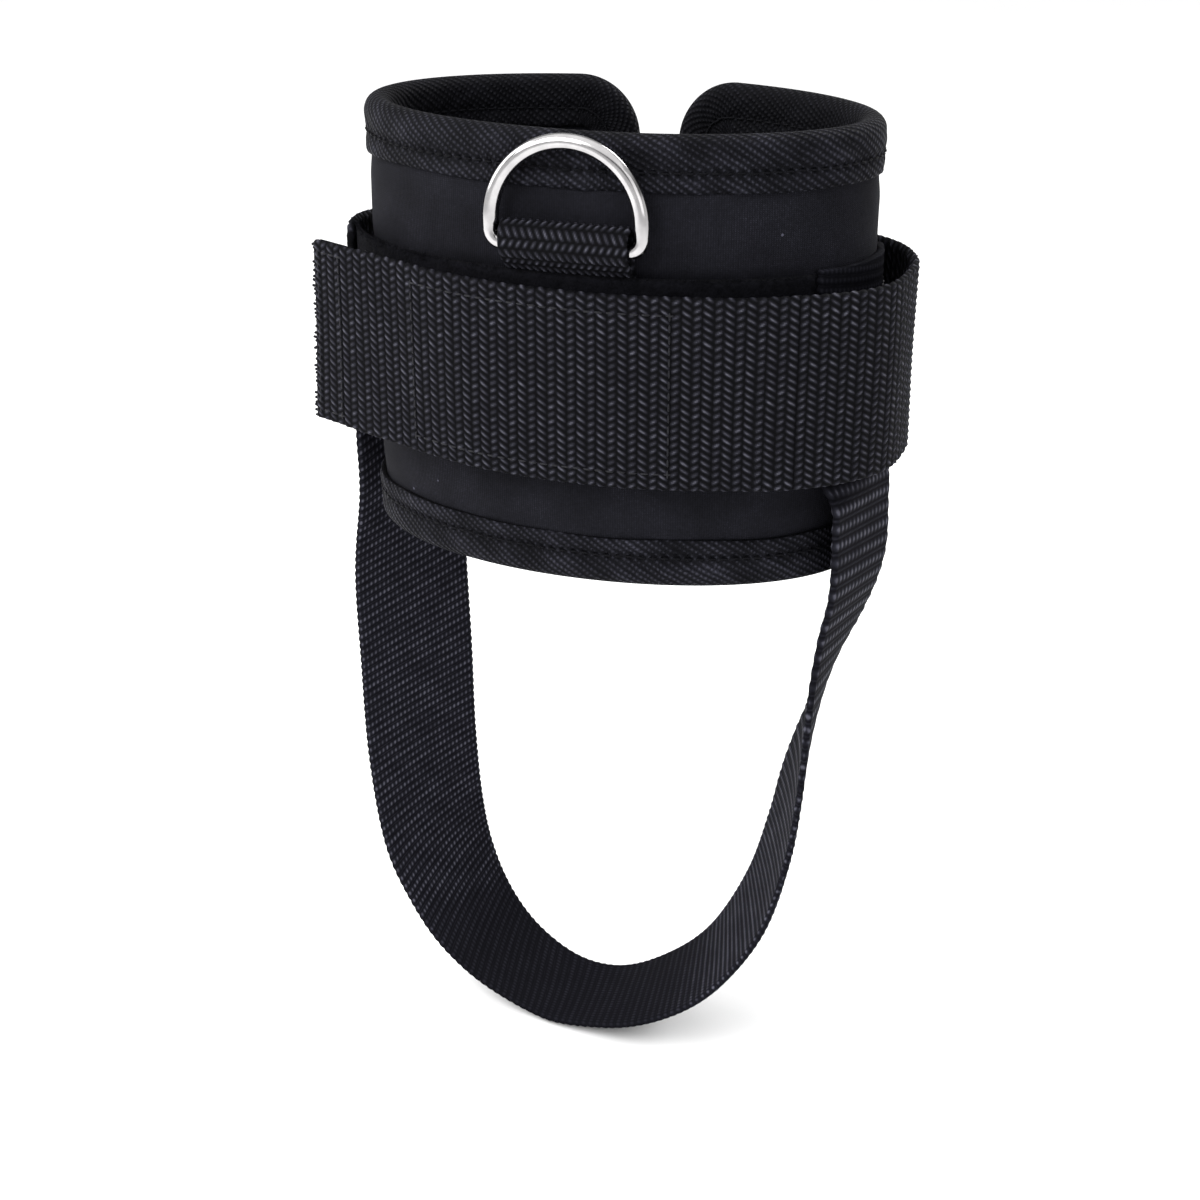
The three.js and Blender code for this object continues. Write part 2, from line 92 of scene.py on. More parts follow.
# middle line (x, y, z) of the foot strap and the direction across it, from its left end to its right
FOOT_ROUTE = np.array([
    (-68.8, 14.6, -41, 0.6, 0.8, 0), (-68.8, 14.6, -60, 0.6, 0.8, 0),
    (-69.8, 14.8, -87, 0.78, 0.6, 0.2), (-69.2, 14.7, -115, 0.8, 0.55, 0.25),
    (-68.3, 14.5, -147, 0.78, 0.57, 0.25), (-65.3, 14.1, -174, 0.7, 0.68, 0.2),
    (-59.5, 13.2, -191, 0.55, 0.83, 0.08), (-51, 11.6, -205, 0.42, 0.91, 0.05),
    (-39, 9.5, -215.5, 0.27, 0.96, 0.03), (-23, 7, -222, 0.12, 0.99, 0),
    (-9, 4.6, -222, 0.12, 0.99, 0), (7, 2, -216, -0.12, 0.99, 0),
    (22, -0.4, -205, -0.22, 0.97, 0), (34, -2.2, -191, -0.28, 0.96, 0),
    (44, -3.9, -172, -0.34, 0.94, 0), (50, -4.9, -150, -0.36, 0.93, -0.06),
    (54.5, -5.6, -128, -0.32, 0.93, -0.15), (60, -6.6, -100, -0.12, 0.96, -0.22),
    (66, -7.7, -77, 0.12, 0.96, -0.15), (69.8, -8.5, -60, 0.22, 0.975, 0),
    (69.8, -8.5, -41, 0.22, 0.975, 0),
])


# ---------- small maths ----------
def smooth(x):
    t = np.clip(x, 0, 1)
    return t * t * (3 - 2 * t)


def unit(v):
    return v / np.maximum(np.linalg.norm(v, axis=-1, keepdims=True), 1e-12)


def run_along(points):
    """Distance along a line of points, at each of them."""
    return np.concatenate([[0], np.cumsum(np.linalg.norm(np.diff(points, axis=0), axis=1))])


def with_z(xy, z=0.0):
    """(x, y) as (x, y, z)."""
    return np.concatenate([xy, 0 * xy[..., :1] + z], -1)


def spline(points, at):
    """Uniform Catmull-Rom through points, at places counted in points."""
    p = np.vstack([2 * points[0] - points[1], points, 2 * points[-1] - points[-2]])
    i = np.clip(np.floor(at).astype(int), 0, len(points) - 2)
    t = (at - i)[:, None]
    a, b, c, d = p[i], p[i + 1], p[i + 2], p[i + 3]
    square, cube = 2 * a - 5 * b + 4 * c - d, 3 * b - a - 3 * c + d
    return 0.5 * (2 * b + (c - a) * t + square * t**2 + cube * t**3)


def ripple(u, v, seed, size, count=7):
    """Soft random waves of about that size in millimetres, between about -1 and 1."""
    rng = np.random.default_rng(seed)
    total = 0
    for _ in range(count):
        angle, phase = rng.uniform(0, TURN, 2)
        wave = TURN / (size * rng.uniform(0.7, 1.5))
        total = total + np.sin(wave * (u * cos(angle) + v * sin(angle)) + phase)
    return total / count * 1.6


# ---------- the pad's curved sheet ----------
ANGLES = np.linspace(0, pi, 4001)
ARC = run_along(np.stack([PAD_A * np.sin(ANGLES), -PAD_B * np.cos(ANGLES)], 1))
PAD_HALF = ARC[-1] - PAD_GAP / 2


def pad_frame(s):
    """Points (x, y) and outward normals on the pad's outer face, s along it from its front centre."""
    t = np.sign(s) * np.interp(np.abs(s), ARC, ANGLES)
    point = np.stack([PAD_A * np.sin(t), -PAD_B * np.cos(t)], -1)
    return point, unit(np.stack([np.sin(t) / PAD_A, -np.cos(t) / PAD_B], -1))


def pad_point(s, z, d):
    """Points (x, y, z) at a distance d outside the pad's outer face."""
    s, z, d = np.broadcast_arrays(np.asarray(s, float), z, d)
    point, normal = pad_frame(s)
    return with_z(point + normal * d[..., None], z[..., None])


# ---------- mesh making ----------
UP = np.array([0, 0, 1.0])


def put(name, data):
    """A new object in the scene."""
    made = bpy.data.objects.new(name, data)
    bpy.context.scene.collection.objects.link(made)
    return made


def build(name, sections, u, v, ring=False, relief_shading=None, material=None):
    """A closed solid through sections (n, m, 3). u and v are the weave's coordinates, with one more
    row of them on a ring, and the relief shading is painted highlight and shade that the material reads
    at each point."""
    n, m = sections.shape[:2]
    i = np.arange(n if ring else n - 1)[:, None]
    j = np.arange(m)[None, :]
    i2, j2 = (i + 1) % n, (j + 1) % m
    corner = [np.broadcast_to(k, (len(i), m)) for k in (i * m + j, i * m + j2, i2 * m + j2, i2 * m + j)]
    quads = np.stack(corner, -1).reshape(-1, 4)
    u = np.broadcast_to(u, (n + (1 if ring else 0), m))
    weave = np.stack([u, np.broadcast_to(v, u.shape)], -1)
    texture = [(i, j), (i, j2), (i + 1, j2), (i + 1, j)]
    uv = np.stack([weave[a, b] for a, b in texture], 2).reshape(-1, 4, 2)
    points = sections.reshape(-1, 3)
    a, b, c, d = (points[quads[:, k]] for k in range(4))
    inside_out = np.einsum("ij,ij->i", a + b + c + d, np.cross(c - a, d - b)).sum() < 0
    if inside_out:
        quads, uv = quads[:, ::-1], uv[:, ::-1]
    faces = [quads.ravel()]
    uvs = [uv.reshape(-1, 2)]
    totals = [np.full(len(quads), 4)]
    if not ring:
        first, last = np.arange(m), np.arange(m) + (n - 1) * m
        caps = [(0, first if inside_out else first[::-1]), (n - 1, last[::-1] if inside_out else last)]
        for k, loop in caps:
            faces.append(loop)
            uvs.append(weave[k][loop - k * m])
            totals.append(np.array([m]))
    faces, uvs, totals = np.concatenate(faces), np.concatenate(uvs), np.concatenate(totals)
    mesh = bpy.data.meshes.new(name)
    mesh.vertices.add(len(points))
    mesh.vertices.foreach_set("co", (points * MM).astype(np.float32).ravel())
    mesh.loops.add(len(faces))
    mesh.loops.foreach_set("vertex_index", faces.astype(np.int32))
    mesh.polygons.add(len(totals))
    starts = np.concatenate([[0], np.cumsum(totals)[:-1]]).astype(np.int32)
    mesh.polygons.foreach_set("loop_start", starts)
    mesh.update(calc_edges=True)
    mesh.shade_smooth()
    mesh.uv_layers.new(name="weave").data.foreach_set("uv", uvs.astype(np.float32).ravel())
    # painted highlight and shade at each point, which the material turns into base colour
    if relief_shading is not None:
        attribute = mesh.attributes.new("relief_shading", "FLOAT", "POINT")
        attribute.data.foreach_set("value", np.broadcast_to(relief_shading, (n, m)).astype(np.float32).ravel())
    mesh.validate()
    if material:
        mesh.materials.append(material)
    return put(name, mesh)


def ribbon(name, surface, u, half, thick, material, outer=None, inner=None, across=(60, 20), weave_v=1.0):
    """A strap: surface(v) gives its middle points and normals at offsets v across it. outer and inner
    give the height and the painted highlight and shade of each face, and across how many points each face
    has."""
    half = np.broadcast_to(half, u.shape)[:, None]
    v_out = np.linspace(-1, 1, across[0])[None, :] * half
    v_in = np.linspace(1, -1, across[1] + 2)[None, 1:-1] * half
    parts, relief_shadings = [], []
    for v, sign, height in ((v_out, 1, outer), (v_in, -1, inner)):
        points, normals = surface(v)
        edge = np.clip((np.abs(v) - (half - thick / 2)) / (thick / 2), 0, 1)
        rounded = np.sqrt(1 - edge**2)
        h, r = height(u[:, None], v) if height else (0 * v, 0 * v)
        parts.append(points + normals * (sign * (thick / 2 * rounded + h * rounded))[..., None])
        relief_shadings.append(np.broadcast_to(r, v.shape))
    v_all = np.concatenate([v_out, v_in], 1)
    return build(name, np.concatenate(parts, 1), u[:, None], v_all * weave_v,
                 relief_shading=np.concatenate(relief_shadings, 1), material=material)


def threads(name, points, along, out, length, radius, material, sink=0.35):
    """One short rounded stitch at each point, lying along its seam, its ends sunk into the cloth."""
    points, along, out = (np.asarray(x, float) for x in (points, unit(along), unit(out)))
    side = unit(np.cross(along, out))
    rings, sides = 7, 6
    t = np.linspace(-1, 1, rings)
    swell = np.sqrt(np.clip(1 - t**4, 0.05, 1)) * radius
    dip = -sink * radius * 2 * t**4
    angle = np.arange(sides) * TURN / sides
    local = np.array([(t[k] * length / 2, cos(a) * swell[k], sin(a) * swell[k] + dip[k])
                      for k in range(rings) for a in angle])
    all_points = (points[:, None] + along[:, None] * local[None, :, :1]
                  + side[:, None] * local[None, :, 1:2] + out[:, None] * local[None, :, 2:3])
    n_local = rings * sides
    pairs = [(a, (a + 1) % sides) for a in range(sides)]
    faces = [(k + a, k + sides + a, k + sides + b, k + b)
             for k in range(0, n_local - sides, sides) for a, b in pairs]
    ends = [tuple(range(sides)), tuple(range(n_local - 1, n_local - sides - 1, -1))]
    mesh = bpy.data.meshes.new(name)
    all_faces = [tuple(q + base for q in face) for base in range(0, len(points) * n_local, n_local)
                 for face in faces + ends]
    mesh.from_pydata((all_points.reshape(-1, 3) * MM).tolist(), [], all_faces)
    mesh.shade_smooth()
    mesh.update()
    mesh.materials.append(material)
    return put(name, mesh)


# ---------- materials ----------
def set_stops(ramp, stops):
    """Fills a colour ramp node with stops (place, colour)."""
    bands = ramp.color_ramp.elements
    while len(bands) < len(stops):
        bands.new(0.5)
    for band, (place, colour) in zip(bands, stops):
        band.position = place
        band.color = (*colour, 1)


class Shade:
    """A material's nodes, with short calls for the maths of a weave."""

    def __init__(self, name, **principled):
        self.material = bpy.data.materials.new(name)
        self.material.use_nodes = True
        self.tree = self.material.node_tree
        self.shader = self.tree.nodes["Principled BSDF"]
        for key, value in principled.items():
            self.shader.inputs[key.replace("_", " ")].default_value = value

    def plug(self, value, socket):
        if isinstance(value, bpy.types.NodeSocket):
            self.tree.links.new(value, socket)
        else:
            socket.default_value = value

    def node(self, kind, sockets=None, **settings):
        made = self.tree.nodes.new(kind)
        for key, value in settings.items():
            setattr(made, key, value)
        for key, value in (sockets or {}).items():
            self.plug(value, made.inputs[key])
        return made

    def math(self, operation, *values):
        return self.node("ShaderNodeMath", dict(enumerate(values)), operation=operation).outputs[0]

    def times(self, a, b):
        return self.math("MULTIPLY", a, b)

    def scaled(self, value, gain, add):
        return self.math("MULTIPLY_ADD", value, gain, add)

    def weave_uv(self):
        """Millimetres along a piece and across it."""
        uv = self.node("ShaderNodeUVMap", uv_map="weave").outputs["UV"]
        split = self.node("ShaderNodeSeparateXYZ", {0: uv})
        return split.outputs[0], split.outputs[1]

    def place(self):
        return self.node("ShaderNodeTexCoord").outputs["Object"]

    def relief_shading(self):
        """The painted highlight and shade that build() put at each point."""
        return self.node("ShaderNodeAttribute", attribute_name="relief_shading").outputs["Fac"]

    def wave(self, value, period):
        """A wave from 0 to 1 with that period."""
        angle = self.scaled(value, TURN / period, 0.0)
        return self.scaled(self.math("SINE", angle), 0.5, 0.5)

    def noise(self, scale, detail=3.0, rough=0.55, stretch=(1, 1, 1)):
        """Noise in object space, scale in cycles per metre."""
        place = self.place()
        if stretch != (1, 1, 1):
            place = self.node("ShaderNodeMapping", {0: place, "Scale": stretch}).outputs[0]
        sockets = {"Vector": place, "Scale": scale, "Detail": detail, "Roughness": rough}
        return self.node("ShaderNodeTexNoise", sockets).outputs["Fac"]

    def specks(self, scale, share, radius=0.16):
        """1 on small spots in that share of the cells, 0 elsewhere."""
        cells = self.node("ShaderNodeTexVoronoi", {"Vector": self.place(), "Scale": scale})
        colour = self.node("ShaderNodeSeparateColor", {0: cells.outputs["Color"]})
        near = self.math("LESS_THAN", cells.outputs["Distance"], radius)
        return self.times(near, self.math("LESS_THAN", colour.outputs[0], share))

    def colour(self, value, stops):
        """Base colour from a value, by colour stops (place, colour)."""
        ramp = self.node("ShaderNodeValToRGB", {0: value})
        set_stops(ramp, stops)
        self.plug(ramp.outputs[0], self.shader.inputs["Base Color"])

    def bump(self, height, distance, strength=1.0):
        """Relief as deep as that distance in millimetres."""
        sockets = {"Height": height, "Distance": distance * MM, "Strength": strength}
        self.plug(self.node("ShaderNodeBump", sockets).outputs[0], self.shader.inputs["Normal"])

    def rough(self, value, low, high):
        made = self.node("ShaderNodeMapRange", {"Value": value, "To Min": low, "To Max": high})
        self.plug(made.outputs[0], self.shader.inputs["Roughness"])


def grey(level, blue=1.36):
    """A dark dye: grey with a little more blue in it."""
    return (level, level, level * blue)


def jersey_material(name, base):
    """Fine knit: columns of small slanted stitches, uneven dye and a little lint."""
    wale, course, lean, lint = 0.62, 0.5, 0.9, 0.03
    s = Shade(name, Sheen_Weight=0.008, Specular_IOR_Level=0.045)
    u, v = s.weave_uv()
    slant = s.scaled(s.math("PINGPONG", u, wale / 2), lean, v)
    knit = s.times(s.wave(u, wale), s.wave(slant, course))
    grain = s.noise(1400, 4)
    cloud = s.noise(70, 3)
    uneven = s.scaled(grain, 0.45, s.times(cloud, 0.4))
    tone = s.scaled(knit, 0.3, uneven)
    tone = s.math("ADD", tone, s.times(s.specks(420, lint), 1.6))
    s.colour(tone, [(0.3, grey(base * 0.45)), (0.7, grey(base * 1.4)), (1.0, grey(base * 8))])
    s.bump(s.scaled(knit, 0.7, s.times(grain, 0.6)), 0.12, 0.75)
    s.rough(grain, 0.72, 0.92)
    return s.material


def tape_material(name):
    """Fine twill: small yarn dots in diagonal rows as painted highlights, bent where the tape is pulled,
    with painted shade in its folds.
    """
    row_pitch, row_lean, dot_pitch, dot_lean, bend_most = 2.8, -1.5, 1.5, 0.7, 4.5
    s = Shade(name, Sheen_Weight=0.002, Specular_IOR_Level=0.045)
    u, v = s.weave_uv()
    bend = s.times(s.noise(60, 3), bend_most)
    rows = s.wave(s.math("ADD", s.scaled(v, row_lean, u), bend), row_pitch)
    yarns = s.wave(s.math("ADD", s.scaled(v, dot_lean, u), bend), dot_pitch)
    dots = s.times(s.math("POWER", rows, 1.1), s.scaled(yarns, 0.7, 0.3))
    grain = s.noise(1900, 3)
    cloud = s.noise(120, 3)
    uneven = s.times(s.times(grain, cloud), 1.15)
    tone = s.scaled(dots, 0.6, uneven)
    # painted shade in the creases, at the seam and on the inner face, painted highlight on the puffs
    tone = s.times(tone, s.scaled(s.relief_shading(), 0.85, 0.4))
    s.colour(tone, [(0.15, grey(0.0022)), (0.4, grey(0.0062)), (0.7, grey(0.021)), (1.0, grey(0.04))])
    s.bump(s.scaled(dots, 1.0, s.times(grain, 0.25)), 0.45, 1.0)
    s.rough(dots, 0.75, 0.5)
    return s.material


def webbing_material(name, dot_pitch=None, specular=0.045, blue=1.34, dark=0.0014, light=0.085):
    """Heavy webbing: painted highlight where the relief stands up, painted shade between, fine strands
    along each yarn.
    With dot_pitch, rows of positive relief are broken into dots, and negative relief is a plain line."""
    strand, strand_lean = 0.34, 0.55
    s = Shade(name, Sheen_Weight=0.001, Specular_IOR_Level=specular)
    u, v = s.weave_uv()
    high = s.relief_shading()
    strands = s.wave(s.scaled(v, strand_lean, u), strand)
    grain = s.noise(900, 4)
    cloud = s.noise(160, 3)
    if dot_pitch:
        dots = s.scaled(s.math("POWER", s.wave(v, dot_pitch), 1.4), 0.68, 0.32)
        rows = s.math("MAXIMUM", high, 0.0)
        lines = s.math("MAXIMUM", s.times(high, -1.0), 0.0)
        tone = s.scaled(lines, 0.6, s.times(dots, rows))
        shape = s.scaled(strands, 0.12, tone)
    else:
        tone = high
        shape = s.times(strands, 0.4)
    uneven = s.scaled(s.times(grain, cloud), 1.5, 0.6)
    # the relief's painted highlight and shade, made uneven by noise, become the base colour
    tone = s.scaled(strands, 0.06, s.times(tone, uneven))
    s.colour(tone, [(0.0, grey(dark, blue)), (0.15, grey(dark + 0.003, blue)),
                    (0.5, grey(light * 0.235, blue)), (0.9, grey(light, blue - 0.08))])
    s.bump(s.scaled(grain, 0.3, shape), 0.22, 0.8)
    s.rough(tone, 0.75, 0.42)
    return s.material


def pile_material(name):
    """Loop pile: tufts and loose fibres, with no weave to see."""
    s = Shade(name, Sheen_Weight=0.006, Sheen_Roughness=0.6, Specular_IOR_Level=0.02)
    grain = s.noise(1500, 5, 0.7)
    tufts = s.noise(420, 4)
    fibres = s.scaled(grain, 0.5, s.times(tufts, 0.5))
    s.colour(fibres, [(0.3, grey(0.0012)), (0.7, grey(0.006))])
    s.bump(s.scaled(grain, 0.6, tufts), 0.7, 1.0)
    s.rough(grain, 0.9, 1.0)
    return s.material


def hook_material(name):
    """Moulded nylon, a little shiny."""
    s = Shade(name, Specular_IOR_Level=0.25)
    grain = s.noise(1200, 3)
    s.colour(grain, [(0.3, grey(0.006)), (0.7, grey(0.02))])
    s.bump(grain, 0.1, 0.5)
    s.rough(grain, 0.35, 0.55)
    return s.material


def thread_material(name, level, specular):
    """Twisted thread, its plies drawn out along its height."""
    s = Shade(name, Sheen_Weight=0.005, Specular_IOR_Level=specular)
    twist = s.noise(2600, 2, 0.5, (1, 1, 2.5))
    s.colour(twist, [(0.3, grey(level * 0.3)), (0.7, grey(level))])
    s.bump(twist, 0.12, 0.7)
    s.rough(twist, 0.42, 0.62)
    return s.material


def ring_material(name):
    """Nickel plate with a faint haze and fine scratches."""
    s = Shade(name, Metallic=1.0)
    haze = s.noise(260, 4)
    scratch = s.noise(900, 5, 0.6, (1, 1, 0.15))
    s.colour(haze, [(0.3, (0.41, 0.4, 0.405)), (0.7, (0.52, 0.51, 0.512))])
    s.bump(scratch, 0.008, 0.15)
    s.rough(s.times(haze, scratch), 0.1, 0.24)
    return s.material


jersey = jersey_material("jersey_knit", 0.0078)
lining = jersey_material("lining_knit", 0.0062)
tape = tape_material("binding_twill")
webbing = webbing_material("closure_webbing")
foot_webbing = webbing_material("foot_webbing", dot_pitch=1.3, specular=0.012, blue=1.36,
                                dark=0.0032, light=0.07)
pile = pile_material("loop_pile")
hooks = hook_material("hook_tape")
thread = thread_material("sewing_thread", 0.011, 0.2)
binding_thread = thread_material("binding_thread", 0.005, 0.05)
fray_thread = thread_material("webbing_end", 0.012, 0.05)
steel = ring_material("nickel_plate")


# ---------- weaves as relief and as painted highlight and shade ---
COLUMN, YARN = 2.6, 1.93  # closure webbing: width of a column of yarns, and pitch of the yarns in it
LONG_LEAN, KNOT_LEAN = -0.8, 0.65  # how the yarns lean in one column, and in the next
YARN_HIGH, COLUMN_HIGH = 0.42, 0.12  # how far a yarn stands up, and the whole column with it
RIB, SCALLOP = 2.55, 2.4  # foot webbing: one crosswise rib, and one turn of the weft at its edge
SLANT_LEFT, SLANT_RIGHT = -0.47, -0.12  # how far its ribs run aslant on each side of the foot
COARSEST = 0.85  # how much coarser its ribs get on the right side
ROW_HIGH, LINE_HIGH, LINE_TONE = 0.24, 0.1, -0.7
SOLE_TOP, COVER_LOW = -188, -20  # heights below and above which its ribs are lower and painted darker as shade: the top of its sole, and the closure strap over it
SCATTER_A, SCATTER_B = 12.9898, 78.233  # a sine of these scatters whole numbers


def bell(x):
    """A wave between 0 and 1 that is highest at whole numbers."""
    return 0.5 + 0.5 * np.cos(TURN * x)


def closure_weave(u, v):
    """Columns of yarns that lean one way and then the other, as height, and as painted highlight from 0
    to 1 on the raised yarns.
    """
    column = np.floor(u / COLUMN)
    x = u / COLUMN - column - 0.5
    leaning = np.mod(column, 2) < 0.5
    jitter = 0.12 * np.sin(column * SCATTER_A) + 0.05 * ripple(u, v, 5, 14)
    y = v / YARN + np.where(leaning, LONG_LEAN, KNOT_LEAN) * x + jitter + np.where(leaning, 0, 0.5)
    yarn = bell(y)
    # how strongly each yarn's painted highlight shows, varied at random
    lit = 0.88 + 0.12 * np.sin(np.round(y) * SCATTER_B + column * SCATTER_A)
    body = np.clip(1 - (np.abs(x) / 0.5) ** 3, 0, 1)
    long_yarn = yarn**2.1 * body * (0.85 + 0.5 * x)
    knot = 0.88 * yarn**1.6 * np.clip(1 - (np.abs(x) / 0.42) ** 2, 0, 1)
    relief_shading = np.where(leaning, long_yarn, knot)
    return YARN_HIGH * relief_shading + COLUMN_HIGH * body, relief_shading * lit


def foot_coarse(u):
    """How much coarser than elsewhere the foot webbing is, high on its right side."""
    share = u / foot_total
    return COARSEST * smooth((share - 0.66) / 0.16) * (1 - smooth((share - 0.9) / 0.05))


def foot_weave(u, v):
    """Crosswise ribs: rows of yarn dots as positive relief, and a flat line between them as negative.
    On the sole and under the closure strap they are lower, and painted darker as shade."""
    slant = SLANT_LEFT + (SLANT_RIGHT - SLANT_LEFT) * smooth((u / foot_total - 0.35) / 0.3)
    pitch = RIB * (1 + foot_coarse(foot_u))
    counted = np.cumsum(foot_u[1] / pitch)
    straight = np.interp(u, foot_u, counted)
    phase = straight - slant * v / np.interp(u, foot_u, pitch) + 0.012 * ripple(u, v, 9, 30)
    coarse = foot_coarse(u)
    row = bell(phase) ** (1.15 + 0.5 * coarse)
    line = bell(phase + 0.5) ** (14 + 8 * coarse)
    # painted shade on the sole and under the closure strap, where the ribs are also lowered
    sole = smooth((SOLE_TOP - foot_middle[:, 2]) / 26)
    covered = smooth((foot_middle[:, 2] - COVER_LOW) / 20)
    lowered_and_shaded = np.interp(u, foot_u, (1 - 0.65 * sole) * (1 - 0.6 * covered))
    lit = 0.9 + 0.1 * np.sin(np.round(phase) * SCATTER_B) + 0.1 * ripple(u, v, 10, 12)
    relief_shading = np.where(row > 0.06, row, LINE_TONE * line) * lowered_and_shaded * lit
    return (ROW_HIGH * row + LINE_HIGH * line) * (0.4 + 0.6 * lowered_and_shaded), np.clip(relief_shading, -1, 1)


# ---------- pad ----------
def pad_columns(step):
    """Places along the pad, closer together round its corners, and its half height at each."""
    straight = PAD_HALF - PAD_CORNER
    bend = straight + PAD_CORNER * np.sin(np.linspace(0, pi / 2, 19)[1:])
    even = np.linspace(-straight, straight, int(2 * straight / step))
    s = np.concatenate([-bend[::-1], even, bend])
    past = np.clip(np.abs(s) - straight, 0, PAD_CORNER)
    return s, PAD_HEIGHT / 2 - (PAD_CORNER - np.sqrt(PAD_CORNER**2 - past**2))


# foam: how deep it is under the binding, its rise elsewhere, its loss under the straps, its unevenness
BOUND_DEPTH, FOAM_RISE, STRAP_PRESS, UNEVEN = -0.55, 0.6, 0.3, 0.2
PAD_STEP, PAD_ROWS = 1.3, 96
COARSE_STEP, COARSE_ROWS = 3.6, 37  # the grid that the cloth simulation moves
PUFF_MOST = 1.5  # the most that either fabric may move out
PRESSURE, CLOTH_MASS, CLOTH_STIFFNESS, SETTLE_STEPS = 4, 0.3, 8, 20


def pad_swell(s, z, half_height):
    """How far the foam stands out: pressed under the binding and the straps, full between them."""
    edge = np.minimum(half_height - np.abs(z), PAD_HALF - np.abs(s))
    free = smooth((edge - BIND_LEG + 1) / 9)
    press = smooth((PANEL_HEIGHT / 2 - np.abs(z - PANEL_Z)) / 7)
    return BOUND_DEPTH + free * (FOAM_RISE - STRAP_PRESS * press) + UNEVEN * free * ripple(s, z, 3, 34)


def puffed():
    """A cloth simulation of the pad's two fabrics over their foam, held under the binding and straps.
    Gives the places of its grid, and how far the outer and the inner fabric moved out at each."""
    s, half_height = pad_columns(COARSE_STEP)
    rows = np.linspace(-1, 1, COARSE_ROWS)
    z = rows[None, :] * half_height[:, None]
    grid_s = np.broadcast_to(s[:, None], z.shape)
    faces = np.concatenate([pad_point(grid_s, z, 0), pad_point(grid_s, z, -PAD_THICK)[:, ::-1]], 1)
    shell = build("puff", faces, s[:, None], 0 * faces[..., 0])
    edge = np.minimum(half_height[:, None] - np.abs(z), PAD_HALF - np.abs(grid_s))
    bound = edge < BIND_LEG - 1
    strapped = np.abs(z - PANEL_Z) < PANEL_HEIGHT / 2
    held = np.concatenate([bound | strapped, bound[:, ::-1]], 1).ravel()
    pins = shell.vertex_groups.new(name="held")
    pins.add([int(k) for k in np.flatnonzero(held)], 1.0, "REPLACE")
    cloth = shell.modifiers.new("cloth", "CLOTH")
    cloth.settings.vertex_group_mass = "held"
    cloth.settings.use_pressure = True
    cloth.settings.uniform_pressure_force = PRESSURE
    cloth.settings.mass = CLOTH_MASS
    cloth.settings.tension_stiffness = CLOTH_STIFFNESS
    cloth.settings.compression_stiffness = CLOTH_STIFFNESS
    cloth.settings.effector_weights.gravity = 0
    cloth.collision_settings.use_collision = False
    scene = bpy.context.scene
    for step in range(1, SETTLE_STEPS + 1):
        scene.frame_set(step)
    settled = shell.evaluated_get(bpy.context.evaluated_depsgraph_get()).to_mesh()
    now = np.empty(len(settled.vertices) * 3, np.float32)
    settled.vertices.foreach_get("co", now)
    moved = now.reshape(faces.shape) / MM - faces
    scene.frame_set(1)
    bpy.data.objects.remove(shell)
    normal = pad_frame(grid_s)[1]
    out = (moved[:, :COARSE_ROWS, :2] * normal).sum(-1)
    back = -(moved[:, COARSE_ROWS:, :2][:, ::-1] * normal).sum(-1)
    capped = [np.clip(move * PUFF_MOST / np.percentile(move, 98), 0, PUFF_MOST) for move in (out, back)]
    return s, rows, capped


PUFF_S, PUFF_ROWS, (PUFF_OUT, PUFF_BACK) = puffed()


def puff_at(move, s, rows):
    """The simulated move at a finer grid."""
    by_row = np.stack([np.interp(rows, PUFF_ROWS, column) for column in move])
    return np.stack([np.interp(s, PUFF_S, line) for line in by_row.T], 1)


def pad_sheet(name, outer, inner, material, swell_out, swell_in):
    """One fabric with the half of the foam behind it, between two distances from the pad's outer face."""
    s, half_height = pad_columns(PAD_STEP)
    rows = np.linspace(-1, 1, PAD_ROWS)
    z = rows[None, :] * half_height[:, None]
    grid_s = np.broadcast_to(s[:, None], z.shape)
    lift = pad_swell(grid_s, z, half_height[:, None])
    face_out = pad_point(grid_s, z, outer + swell_out * (lift + puff_at(PUFF_OUT, s, rows)))
    face_in = pad_point(grid_s, z, inner - swell_in * (lift + puff_at(PUFF_BACK, s, rows)))
    sections = np.concatenate([face_out, face_in[:, ::-1]], 1)
    v = np.concatenate([z, z[:, ::-1]], 1)
    return build(name, sections, s[:, None], v, material=material)


PAD_MIDDLE = -PAD_THICK / 2
pad_outer = pad_sheet("pad_outer", 0.0, PAD_MIDDLE, jersey, 1, 0)
pad_lining = pad_sheet("pad_lining", PAD_MIDDLE, -PAD_THICK, lining, 0, 0.8)


# ---------- edge binding ----------
def pad_outline(step):
    """Evenly spaced points round the pad's edge: their places and inward directions in (s, z), their
    distances along it, and its whole length."""
    top, r = PAD_HEIGHT / 2, PAD_CORNER
    lengths = [2 * (PAD_HALF - r), r * pi / 2, 2 * (top - r), r * pi / 2] * 2
    ends = np.cumsum(lengths)
    at = np.linspace(0, ends[-1], int(ends[-1] / step), endpoint=False)
    side = np.searchsorted(ends, at, side="right")
    done = at - np.concatenate([[0], ends])[side]
    half = side // 4  # the second half is the first one turned about the pad's middle
    part = side % 4
    turn = done / r
    x, y = PAD_HALF - r, top - r
    on = [part == 0, part == 1, part == 2]
    still = 0 * done
    s = np.select(on, [-x + done, x + r * np.sin(turn), PAD_HALF + still], x + r * np.cos(turn))
    z = np.select(on, [-top + still, -y - r * np.cos(turn), -y + done], y + r * np.sin(turn))
    in_s = np.select(on, [still, -np.sin(turn), -1 + still], -np.cos(turn))
    in_z = np.select(on, [1 + still, np.cos(turn), still], -np.sin(turn))
    sign = np.where(half == 1, -1, 1)
    return s * sign, z * sign, in_s * sign, in_z * sign, at, ends[-1]


STITCH_PITCH, BIND_STITCH, STITCH_RADIUS = 3.0, 2.35, 0.27  # stitch pitch, length and radius
BIND_STEP = 0.85
BIND_TURN = 2.4  # distance from the pad's edge at which the tape starts to turn round it
CREASE_PITCH, CREASE_LEAN, CREASE_HIGH = 7.4, 1.3, 0.36


